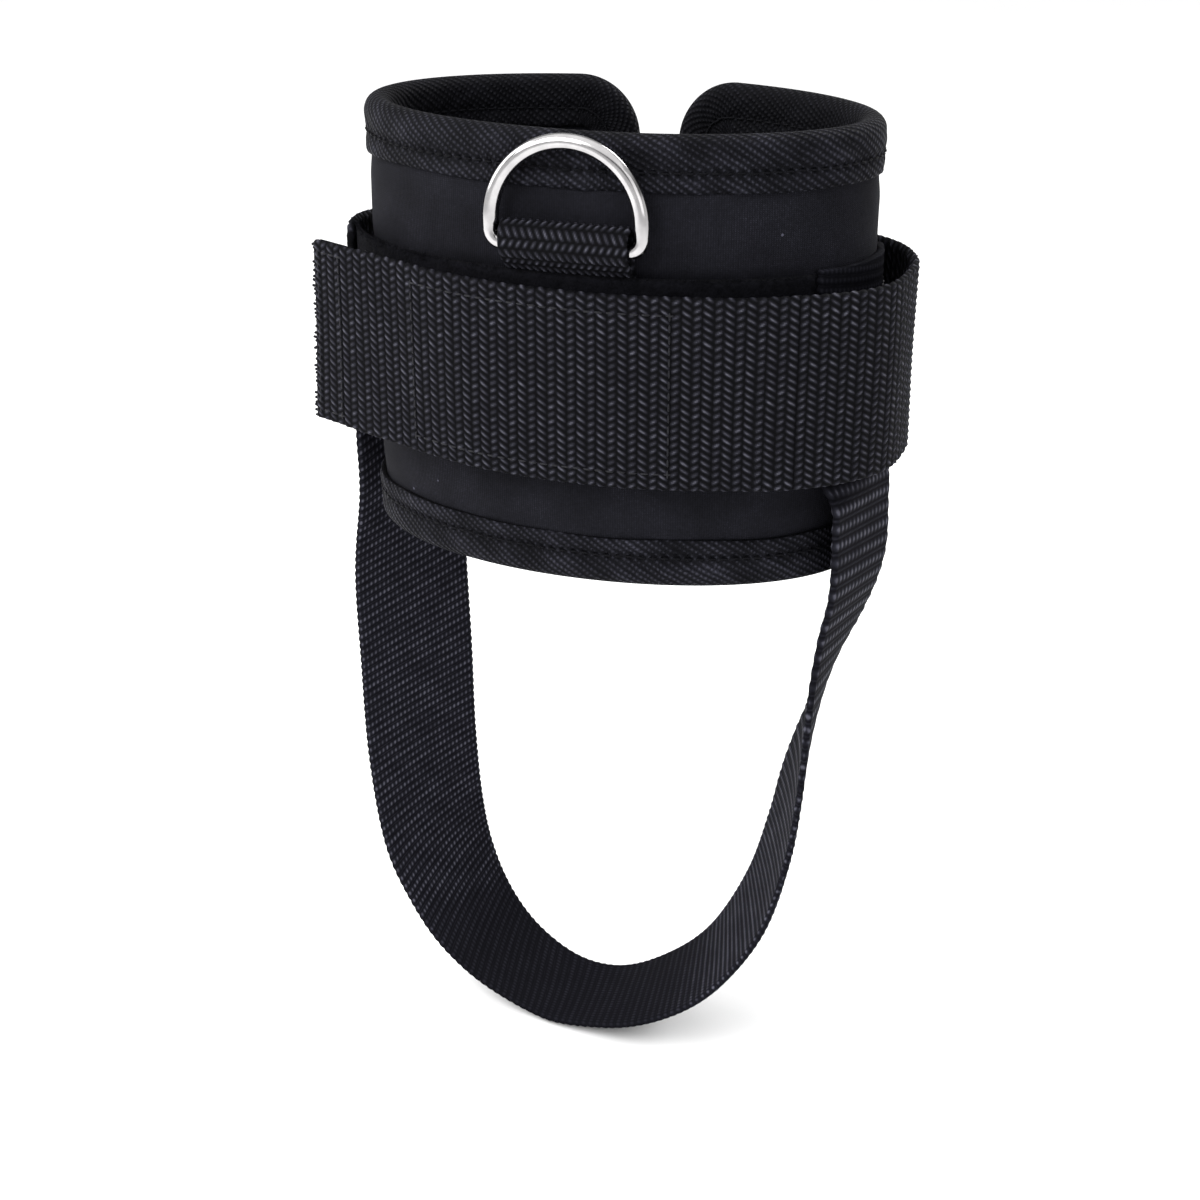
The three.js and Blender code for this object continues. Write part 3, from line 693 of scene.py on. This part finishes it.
def binding_height(at, inset):
    """How far the tape stands off its flat lie: drawn in at the stitches, puffed between them."""
    seam = np.exp(-(((inset - BIND_SEAM) / 1.5) ** 2))
    pull = 0.6 + 0.4 * np.cos(TURN * at / STITCH_PITCH)
    aslant = at + CREASE_LEAN * inset
    bend = 1.7 * ripple(at, 0 * inset, 15, 40)
    crease = (0.5 + 0.5 * np.sin(TURN * aslant / CREASE_PITCH + bend)) ** 2
    strength = 0.5 + 0.5 * ripple(at, inset, 16, 45)
    puff = CREASE_HIGH * crease * strength + 0.32 * ripple(at, inset * 1.6, 14, 17)
    height = -0.6 * seam * pull + (1 - 0.5 * seam) * puff
    # the second value is painted shade and highlight: darker at the seam and in the creases, lighter on
    # the puffs
    return height, np.clip(0.5 + 0.75 * height, 0, 1)


def make_binding():
    """The tape over the pad's edge. side goes from 1 on the outer face to -1 on the inner face."""
    s, z, in_s, in_z, at, total = pad_outline(BIND_STEP)
    rim = PAD_THICK / 2 + BIND_THICK
    legs = np.linspace(BIND_LEG, BIND_TURN, 17)
    turn = np.linspace(pi / 2, -pi / 2, 17)[1:-1]
    outside = [(q, 1) for q in legs]
    outside += [(BIND_TURN - rim * cos(a), sin(a)) for a in turn]
    outside += [(q, -1) for q in legs[::-1]]
    columns, v, relief_shadings = [], [], []
    travelled, last = 0.0, None
    wobble = 0.3 * ripple(at, 0 * at, 21, 22)

    def add(inset, d, relief_shading):
        q = inset + wobble * smooth((inset - 6) / 6)
        columns.append(pad_point(s + q * in_s, z + q * in_z, d))
        v.append(travelled)
        relief_shadings.append(relief_shading)

    for inset, side in outside:
        here = (inset, PAD_MIDDLE + side * rim)
        travelled += 0 if last is None else dist(here, last)
        last = here
        height, relief_shading = binding_height(at, inset)
        lift = height * np.sign(side) * smooth((inset - 1) / 3)
        edge = smooth((BIND_LEG - inset) / 0.9)
        # painted shade: the inner face gets a much darker relief value than the outer face
        add(inset, here[1] + lift - np.sign(side) * (1 - edge) * 0.35, relief_shading * (0.6 + 0.4 * side))
    under = (BIND_LEG + 0.1, 8, 3, 0.6)
    for inset, side in [(q, -1) for q in under] + [(q, 1) for q in under[::-1]]:
        add(inset, PAD_MIDDLE + side * (PAD_THICK / 2 - 0.2), 0.3 + 0 * s)
    u = np.append(at, total)
    return build("edge_binding_tape", np.stack(columns, 1), u[:, None], np.array(v)[None, :], ring=True,
                 relief_shading=np.stack(relief_shadings, 1), material=tape)


binding = make_binding()


def binding_stitches(name, side):
    """The row of stitches on the pad's outer face, side 1, or its inner face, side -1."""
    s, z, in_s, in_z, at, _ = pad_outline(STITCH_PITCH)
    face = PAD_MIDDLE + side * (PAD_THICK / 2 + BIND_THICK)
    rng = np.random.default_rng(31 + side)
    q = BIND_SEAM + rng.normal(0, 0.07, len(at))
    d = face + side * (binding_height(at + STITCH_PITCH / 2, BIND_SEAM)[0] + 0.08)
    here = pad_point(s + q * in_s, z + q * in_z, d)
    out = with_z(pad_frame(s + q * in_s)[1] * side)
    along = np.roll(here, -1, 0) - np.roll(here, 1, 0)
    return threads(name, here, along, out, BIND_STITCH, STITCH_RADIUS, binding_thread)


seam_outer = binding_stitches("binding_seam_outer", 1)
seam_inner = binding_stitches("binding_seam_inner", -1)


# ---------- closure strap ----------
ROUTE_END = len(STRAP_ROUTE) - 1
START_RISE = 3.5  # how much higher the strap is where it leaves its sewn end
END_SHEAR = -0.06  # how far aslant its loose end is cut
START_CORNER = 5.0  # radius of the corners of its sewn end
STRAP_STEP = 0.42


def strap_frame(at):
    """Middle line, outward normal and height of the closure strap at route places."""
    line = spline(STRAP_ROUTE, at)
    ahead = spline(STRAP_ROUTE, np.minimum(at + 0.01, ROUTE_END))
    behind = spline(STRAP_ROUTE, np.maximum(at - 0.01, 0))
    tangent = unit(ahead - behind)
    outward = np.stack([-tangent[:, 1], tangent[:, 0]], -1)
    rise = STRAP_RISE * smooth((at - RISE_FROM) / (ROUTE_END - RISE_FROM))
    start_rise = START_RISE * smooth(1 - at / 4)
    return line, outward, STRAP_Z + rise + start_rise


PLACES = np.linspace(0, ROUTE_END, 4001)
RUNS = run_along(spline(STRAP_ROUTE, PLACES))


def strap_run(place):
    """Millimetres along the strap at a route place."""
    return np.interp(place, PLACES, RUNS)


end_run = strap_run(ROUTE_END)


def strap_surface(run, offset=0.0):
    """Middle points and normals of the strap at those runs, moved out by offset, for ribbon()."""
    line, outward, height = strap_frame(np.interp(run, RUNS, PLACES))

    def surface(v):
        sway = 0.35 * ripple(run[:, None], v, 41, 48) * smooth(run[:, None] / 12)
        normal = with_z(outward)[:, None, :] + 0 * v[..., None]
        flat = with_z(line, height[:, None])[:, None, :] + normal * (offset + sway)[..., None]
        tangent = np.stack([outward[:, 1], -outward[:, 0], 0 * run], -1)[:, None, :]
        shear = END_SHEAR * v * smooth(1 - (end_run - run[:, None]) / 30)
        flat = flat + tangent * shear[..., None]
        return flat + UP * v[..., None], normal

    return surface


def strap_half(run):
    """Half the strap's width: scalloped by its yarns, and with round corners at its sewn end."""
    teeth = 0.3 * np.abs(np.sin(pi * run / COLUMN))
    cut = START_CORNER - np.sqrt(START_CORNER**2 - np.clip(START_CORNER - run, 0, START_CORNER) ** 2)
    return STRAP_WIDTH / 2 - 0.15 + teeth - cut + 0.14 * ripple(run, 0 * run, 44, 22)


def closure_piece(name, start, stop):
    run = np.linspace(start, stop, int((stop - start) / STRAP_STEP) + 1)
    return ribbon(name, strap_surface(run), run, strap_half(run), STRAP_THICK, webbing,
                  outer=closure_weave, inner=closure_weave, across=(119, 40))


# the two pieces join between two columns of yarns, where it can't be seen
split_run = round(strap_run(13.6) / COLUMN) * COLUMN
strap_wrap = closure_piece("closure_strap_wrap", 0.0, split_run)
strap_pull = closure_piece("closure_strap_pull", split_run, end_run)

HOOK_TAPE, HOOK_PITCH, HOOK_LEAN = 0.9, (1.55, 1.45), 0.35  # tape thickness, hooks along and across


def hook_patch():
    """The hook tape on the strap's inner face, and its hooks, which lean up and down by turns."""
    runs = np.linspace(strap_run(RISE_FROM - 1), strap_run(TAIL_HINGE - 0.4), 60)
    base = ribbon("hook_patch_tape", strap_surface(runs, -STRAP_THICK / 2 - 0.6), runs,
                  STRAP_WIDTH / 2 - 3, HOOK_TAPE, hooks, across=(30, 30))
    u, v = np.meshgrid(np.arange(runs[0] + 1.2, runs[-1] - 1, HOOK_PITCH[0]),
                       np.arange(-20.8, 21, HOOK_PITCH[1]), indexing="ij")
    middle, out = strap_surface(u[:, 0], -STRAP_THICK / 2 - 1.05)(v)
    middle, out = middle.reshape(-1, 3), out.reshape(-1, 3)
    lean = np.where(np.arange(len(middle)) % 2, 1.0, -1.0)[:, None]
    pins = threads("hook_patch_hooks", middle - 0.25 * out, -out + HOOK_LEAN * lean * UP,
                   np.broadcast_to(UP, middle.shape), 0.9, 0.13, hooks, sink=1.2)
    return base, pins


def strap_end_fray(pitch=1.3):
    """Ends of yarns that stand out of the strap's cut end."""
    v = np.arange(-STRAP_WIDTH / 2 + 0.8, STRAP_WIDTH / 2 - 0.4, pitch)
    rng = np.random.default_rng(72)
    points, out = (a[0] for a in strap_surface(np.array([end_run - 0.2]))(v[None, :]))
    along = np.stack([out[:, 1], -out[:, 0], rng.normal(0, 0.25, len(v))], -1)
    points = points + out * rng.normal(0.2, 0.35, (len(v), 1)) + 0.55 * along
    return threads("strap_end_fray", points, along, out, 2.4, 0.42, fray_thread)


def strap_hem():
    """The strap's end folded back on its inner face."""
    runs = np.linspace(strap_run(20.25), end_run, 30)
    return ribbon("strap_end_fold", strap_surface(runs, -STRAP_THICK - 0.1), runs, STRAP_WIDTH / 2 - 0.4,
                  STRAP_THICK, webbing, outer=closure_weave, inner=closure_weave, across=(60, 60))


hook_base, hook_pins = hook_patch()
fray = strap_end_fray()
hem = strap_hem()
SEAM_PITCH, SEAM_STITCH = 2.9, 2.2  # pitch and length of all other stitches


def box_stitches(along, across):
    """A stitched rectangle: columns of place along, place across, and direction along and across."""
    (a0, a1), (c0, c1) = along, across
    spots = [(a, c, 1, 0) for c in (c0, c1) for a in np.arange(a0, a1, SEAM_PITCH)]
    spots += [(a, c, 0, 1) for a in (a0, a1) for c in np.arange(c0, c1, SEAM_PITCH)]
    return np.array(spots)


def strap_stitches(name, runs, half):
    """A stitched rectangle on the strap's outer face, between two runs and as far from its middle."""
    spots = box_stitches(runs, (-half, half))
    run = spots[:, 0]
    points, normals = (a[:, 0] for a in strap_surface(run)(spots[:, 1:2]))
    tangent = np.stack([normals[:, 1], -normals[:, 0], 0 * run], -1)
    along = tangent * spots[:, 2:3] + UP * spots[:, 3:4]
    points = points + normals * (STRAP_THICK / 2 + 0.22)
    return threads(name, points, along, normals, SEAM_STITCH, 0.26, thread)


hook_seam = strap_stitches("hook_patch_seam", strap_run([RISE_FROM - 0.9, TAIL_HINGE - 0.5]), 20.5)
anchor_seam = strap_stitches("strap_anchor_seam", strap_run([0.15, 0.85]), 21)
end_seam = strap_stitches("strap_end_seam", strap_run([20.3, 20.88]), 22)


# ---------- loop panel ----------
panel_s = np.linspace(PANEL_LEFT, PANEL_RIGHT, 180)


def panel_surface(v):
    point, normal = pad_frame(panel_s)
    normal = with_z(normal)[:, None, :] + 0 * v[..., None]
    out = PANEL_OUT + PANEL_THICK / 2 + 0.2 * ripple(panel_s[:, None], v, 51, 20)
    return with_z(point, PANEL_Z)[:, None, :] + normal * out[..., None] + UP * v[..., None], normal


def pile_relief(u, v):
    return 0.14 * ripple(u, v, 52, 2.4), 0 * u * v


def loose_pile(count=2300, spread=1.6):
    """Loose fibres along the panel's two edges, twice as many along the upper one."""
    rng = np.random.default_rng(71)
    s = rng.uniform(PANEL_LEFT, PANEL_RIGHT, count)
    edge = np.where(np.arange(count) % 3 < 2, 1, -1)
    z = PANEL_Z + edge * (PANEL_HEIGHT / 2 - 0.2 - spread * rng.random(count) ** 2)
    normal = with_z(pad_frame(s)[1])
    points = pad_point(s, z, PANEL_OUT + PANEL_THICK * rng.uniform(0.1, 1.0, count))
    way = unit(rng.normal(0, 1, (count, 3)) + normal * 0.6)
    return threads("loop_panel_fuzz", points, way, normal + 0.01, 1.5, 0.06, pile)


loop_panel = ribbon("loop_panel_pile", panel_surface, panel_s, PANEL_HEIGHT / 2, PANEL_THICK, pile,
                    outer=pile_relief)
panel_fuzz = loose_pile()


# ---------- D-ring and its tab ----------
RING_SIDES = 24


def ring_line():
    """The wire's centre line in the ring's own plane: x across, y up from the bar."""
    half = RING_INNER / 2 + RING_WIRE / 2
    c = RING_CORNER

    def arc(cx, cy, r, start, stop, count):
        a = np.linspace(start, stop, count)
        return np.stack([cx + r * np.cos(a), cy + r * np.sin(a)], -1)

    bar = np.stack([np.linspace(-half + c, half - c, 40), np.zeros(40)], -1)
    return np.concatenate([
        bar, arc(half - c, c, c, -pi / 2, 0, 12)[1:], [(half, c + (RING_SIDE - c) / 2)],
        arc(0, RING_SIDE, half, 0, pi, 110), [(-half, c + (RING_SIDE - c) / 2)],
        arc(-half + c, c, c, pi, 1.5 * pi, 12)[:-1],
    ])


def make_ring():
    line = ring_line()
    tangent = unit(np.roll(line, -1, 0) - np.roll(line, 1, 0))
    lean = radians(RING_LEAN)
    right = np.array([1.0, 0, 0])
    up = np.array([0, -sin(lean), cos(lean)])
    forward = np.array([0, -cos(lean), -sin(lean)])
    pivot = np.array([0, -PAD_B - RING_OUT, RING_Z])
    centre = pivot + line[:, :1] * right + line[:, 1:] * up
    out = tangent[:, 1:] * right - tangent[:, :1] * up
    a = (np.arange(RING_SIDES) * TURN / RING_SIDES)[None, :, None]
    radius = RING_WIRE / 2
    points = centre[:, None] + radius * (np.cos(a) * out[:, None] + np.sin(a) * forward)
    run = run_along(line)
    u = np.append(run, run[-1] + 1)
    return build("d_ring_wire", points, u[:, None], a[..., 0] * radius, ring=True, material=steel)


d_ring = make_ring()


def make_tab():
    """Webbing that runs up the pad, folds over the bar and runs down again. Its route is in distance
    from the pad and height."""
    fold_r = RING_OUT - 0.2 - TAB_THICK / 2
    fold_z = RING_Z + TAB_SLACK
    inner_leg, outer_leg = 0.2 + TAB_THICK / 2, 0.45 + 1.5 * TAB_THICK
    turn = np.linspace(pi, 0, 26)
    route = [(inner_leg, z) for z in np.linspace(TAB_BOTTOM, RING_Z, 30)[:-1]]
    route += [(RING_OUT + fold_r * cos(a), fold_z + fold_r * sin(a)) for a in turn]
    down = np.linspace(0, 1, 14)[1:]
    reach = RING_OUT + fold_r
    route += [(reach + (outer_leg - reach) * smooth(t), RING_Z - 0.4 - 7.2 * t) for t in down]
    route += [(outer_leg, z) for z in np.linspace(RING_Z - 9, TAB_BOTTOM, 24)]
    route = np.array(route)
    run = run_along(route)
    u = np.linspace(0, run[-1], int(run[-1] / 0.35))
    d, z = np.interp(u, run, route[:, 0]), np.interp(u, run, route[:, 1])
    for _ in range(12):  # rounds off the corners of the route
        d[1:-1] = (d[:-2] + 2 * d[1:-1] + d[2:]) / 4
        z[1:-1] = (z[:-2] + 2 * z[1:-1] + z[2:]) / 4
    tangent = unit(np.stack([np.gradient(d), np.gradient(z)], -1))

    def surface(v):
        pad_y = PAD_B * np.sqrt(1 - (v / PAD_A) ** 2)
        flat = smooth((z - (RING_Z - 7)) / 6)[:, None]
        base = -(pad_y * (1 - flat) + PAD_B * flat)
        points = np.stack([v, base - d[:, None], z[:, None] + 0 * v], -1)
        normal = np.stack([0 * v, tangent[:, 1:] + 0 * v, tangent[:, :1] + 0 * v], -1)
        return points, normal

    return ribbon("d_ring_tab_webbing", surface, u, TAB_HALF, TAB_THICK, webbing, outer=closure_weave,
                  inner=closure_weave, across=(80, 40))


tab = make_tab()


# ---------- foot strap ----------
def foot_stations(step=0.41):
    """At even steps from the left sewn end to the right one: distance along, middle, direction across
    and outward direction. Last comes the whole length."""
    last = len(FOOT_ROUTE) - 1
    at = np.linspace(0, last, 4001)
    hung = spline(FOOT_ROUTE, at)
    run = run_along(hung[:, :3])
    sewn = FOOT_TOP_Z - FOOT_ROUTE[0, 2]
    total = run[-1] + 2 * sewn
    u = np.linspace(0, total, int(total / step))
    inside = np.clip(u - sewn, 0, run[-1])
    row = np.stack([np.interp(inside, run, hung[:, k]) for k in range(6)], -1)
    middle = row[:, :3]
    middle[:, 2] += np.clip(sewn - u, 0, None) + np.clip(u - sewn - run[-1], 0, None)
    tangent = unit(np.gradient(middle, axis=0))
    across = row[:, 3:]
    across = unit(across - (across * tangent).sum(-1, keepdims=True) * tangent)
    return u, middle, across, unit(np.cross(across, tangent)), total


foot_u, foot_middle, foot_across, foot_out, foot_total = foot_stations()


def foot_surface(v):
    """Hanging free below, and curved to the pad where it is sewn."""
    hung = foot_middle[:, None] + foot_across[:, None] * v[..., None]
    normal = np.broadcast_to(foot_out[:, None], hung.shape)
    cup = 0.5 * (1 - (2 * v / FOOT_WIDTH) ** 2) * smooth((-70 - foot_middle[:, 2:]) / 40)
    sway = 0.5 * ripple(foot_u[:, None], v, 61, 60) * smooth((-75 - foot_middle[:, 2:]) / 30)
    hung = hung + normal * (cup + sway)[..., None]
    left = foot_u < foot_total / 2
    sewn_at = np.where(left, FOOT_SEWN_LEFT, FOOT_SEWN_RIGHT)[:, None]
    side = np.where(left, -1, 1)[:, None]
    s = sewn_at + side * v
    z = np.broadcast_to(foot_middle[:, 2:], v.shape)
    on_pad = pad_point(s, z, 0.4 + FOOT_THICK / 2)
    pad_normal = with_z(pad_frame(s)[1])
    flat = smooth((-24 - z) / 15)[..., None]
    return on_pad * (1 - flat) + hung * flat, unit(pad_normal * (1 - flat) + normal * flat)


foot_half = FOOT_WIDTH / 2 - 0.32 + 0.32 * np.abs(np.sin(pi * foot_u / SCALLOP))
foot_strap = ribbon("foot_strap_webbing", foot_surface, foot_u, foot_half, FOOT_THICK, foot_webbing,
                    outer=foot_weave, inner=foot_weave, across=(36, 34),
                    weave_v=1 / (1 + foot_coarse(foot_u)[:, None]))


def pad_stitches(name, s, z, off, radius, directions=(1, 0)):
    """Stitches on the pad at a distance off it: directions is how far each lies along it, and up."""
    normal = with_z(pad_frame(s)[1])
    tangent = np.stack([-normal[:, 1], normal[:, 0], 0 * s], -1)
    way = np.broadcast_to(directions, (len(s), 2))
    along = tangent * way[:, :1] + UP * way[:, 1:]
    return threads(name, pad_point(s, z, off), along, normal, SEAM_STITCH, radius, thread)


def tack_box(name, middle_s):
    """The stitched box that holds an end of the foot strap to the pad."""
    spots = box_stitches((-14, 14), (-16, 16))
    off = 0.4 + FOOT_THICK + 0.3
    return pad_stitches(name, middle_s + spots[:, 0], spots[:, 1], off, 0.27, spots[:, 2:])


def panel_stitches(inset=4.8):
    """A row of stitches inside each long edge of the loop panel."""
    row = np.arange(PANEL_LEFT + 14, PANEL_RIGHT - 3, SEAM_PITCH)
    height = PANEL_Z + np.repeat([-1, 1], len(row)) * (PANEL_HEIGHT / 2 - inset)
    return pad_stitches("loop_panel_seam", np.tile(row, 2), height, PANEL_OUT + PANEL_THICK + 0.1, 0.25)


tack_left = tack_box("foot_strap_box_left", FOOT_SEWN_LEFT)
tack_right = tack_box("foot_strap_box_right", FOOT_SEWN_RIGHT)
panel_seam = panel_stitches()

# ---------- which CAD part each piece stands for, and what it moves with ----------
PIECES = [
    (pad_outer, "cuff_body", "jersey", ["outer_face_fabric", "foam_core"]),
    (pad_lining, "cuff_body", "lining", ["lining_fabric"]),
    (binding, "cuff_body", "binding_tape", ["edge_binding"]),
    (seam_outer, "cuff_body", "thread", ["binding_stitch_outer"]),
    (seam_inner, "cuff_body", "thread", ["binding_stitch_inner"]),
    (loop_panel, "cuff_body", "loop_pile", ["loop_panel"]),
    (panel_seam, "cuff_body", "thread", ["loop_panel_stitch"]),
    (tab, "cuff_body", "webbing", ["d_ring_tab"]),
    (d_ring, "ring", "ring_metal", ["d_ring"]),
    (tack_left, "cuff_body", "thread", ["foot_strap_tack_left"]),
    (tack_right, "cuff_body", "thread", ["foot_strap_tack_right"]),
    (anchor_seam, "cuff_body", "thread", ["strap_anchor_stitch"]),
    (hook_base, "strap_front", "hook_tape", ["hook_patch"]),
    (hook_seam, "strap_front", "thread", ["hook_patch_stitch"]),
    (hook_pins, "strap_front", "hook_tape", []),
    (panel_fuzz, "cuff_body", "loop_pile", []),
    (hem, "strap_tail", "webbing", ["strap_end_hem"]),
    (end_seam, "strap_tail", "thread", ["strap_end_stitch"]),
    (fray, "strap_tail", "webbing", []),
]
for piece, body, slot_name, nodes in PIECES:
    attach(piece, body)
    if nodes:
        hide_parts(*nodes)


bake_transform(foot_strap)
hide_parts("foot_strap_end_left", "foot_strap_end_right", "foot_strap_loop")
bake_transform(strap_wrap)
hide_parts("closure_strap_back", "closure_strap_front")
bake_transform(strap_pull)
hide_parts("closure_strap_tail")

# ---------- floor, light and camera, in metres ----------
low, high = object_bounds()
centre = (Vector(low) + Vector(high)) / 2


def make_floor(size=60.0, gap=0.0004):
    z = low[2] - gap
    mesh = bpy.data.meshes.new("floor")
    corners = [(-size, -size, z), (size, -size, z), (size, size, z), (-size, size, z)]
    mesh.from_pydata(corners, [], [(0, 1, 2, 3)])
    floor = put("floor", mesh)
    paper = Shade("floor_paper", Specular_IOR_Level=0.1)
    cloud = paper.noise(3, 2)
    paper.colour(cloud, [(0.0, (0.88, 0.88, 0.88)), (1.0, (0.91, 0.91, 0.91))])
    paper.rough(cloud, 0.85, 0.95)
    mesh.materials.append(paper.material)


def aim(piece, place, target):
    piece.location = place
    piece.rotation_euler = (Vector(target) - Vector(place)).to_track_quat("-Z", "Y").to_euler()


def area_light(name, place, size, power):
    """A soft box that faces the object's middle."""
    light = bpy.data.lights.new(name, "AREA")
    light.shape = "RECTANGLE"
    light.size, light.size_y = size
    light.energy = power
    aim(put(name, light), place, centre)


def sky_light(power=1.4, width=100, lean=(14, -10)):
    """Wide, even light from above, as from a ceiling of lamps."""
    light = bpy.data.lights.new("sky", "SUN")
    light.energy = power
    light.angle = radians(width)
    put("sky", light).rotation_euler = (radians(lean[0]), radians(lean[1]), 0)


def studio_world():
    """A white studio with a darker band above the horizon, which the ring reflects."""
    levels = [(0.05, 0.92), (0.24, 0.85), (0.32, 0.25), (0.5, 0.25), (0.62, 0.75)]
    world = bpy.data.worlds.new("studio")
    bpy.context.scene.world = world
    world.use_nodes = True
    nodes, links = world.node_tree.nodes, world.node_tree.links
    direction = nodes.new("ShaderNodeTexCoord")
    split = nodes.new("ShaderNodeSeparateXYZ")
    ramp = nodes.new("ShaderNodeValToRGB")
    links.new(direction.outputs["Generated"], split.inputs[0])
    links.new(split.outputs[2], ramp.inputs[0])
    set_stops(ramp, [(place, (brightness,) * 3) for place, brightness in levels])
    links.new(ramp.outputs[0], nodes["Background"].inputs["Color"])


def make_camera(place, target, lens):
    data = bpy.data.cameras.new("camera")
    data.sensor_width = 36
    data.lens = lens
    data.clip_start = 0.05
    camera = put("camera", data)
    aim(camera, place, target)
    bpy.context.scene.camera = camera


make_floor()
area_light("key", (-0.55, -0.9, 0.85), (0.9, 0.9), 16)
area_light("fill", (1.0, -0.8, 0.45), (0.8, 0.9), 3)
area_light("side", (-1.1, -0.1, 0.5), (0.8, 0.9), 8)
area_light("back", (0.5, 0.9, 0.7), (0.6, 0.6), 9)
sky_light()
studio_world()
make_camera((0.1565, -0.5037, 0.1582), (-0.004, -0.004, -0.0805), 61)
bpy.context.scene.view_settings.view_transform = "Standard"
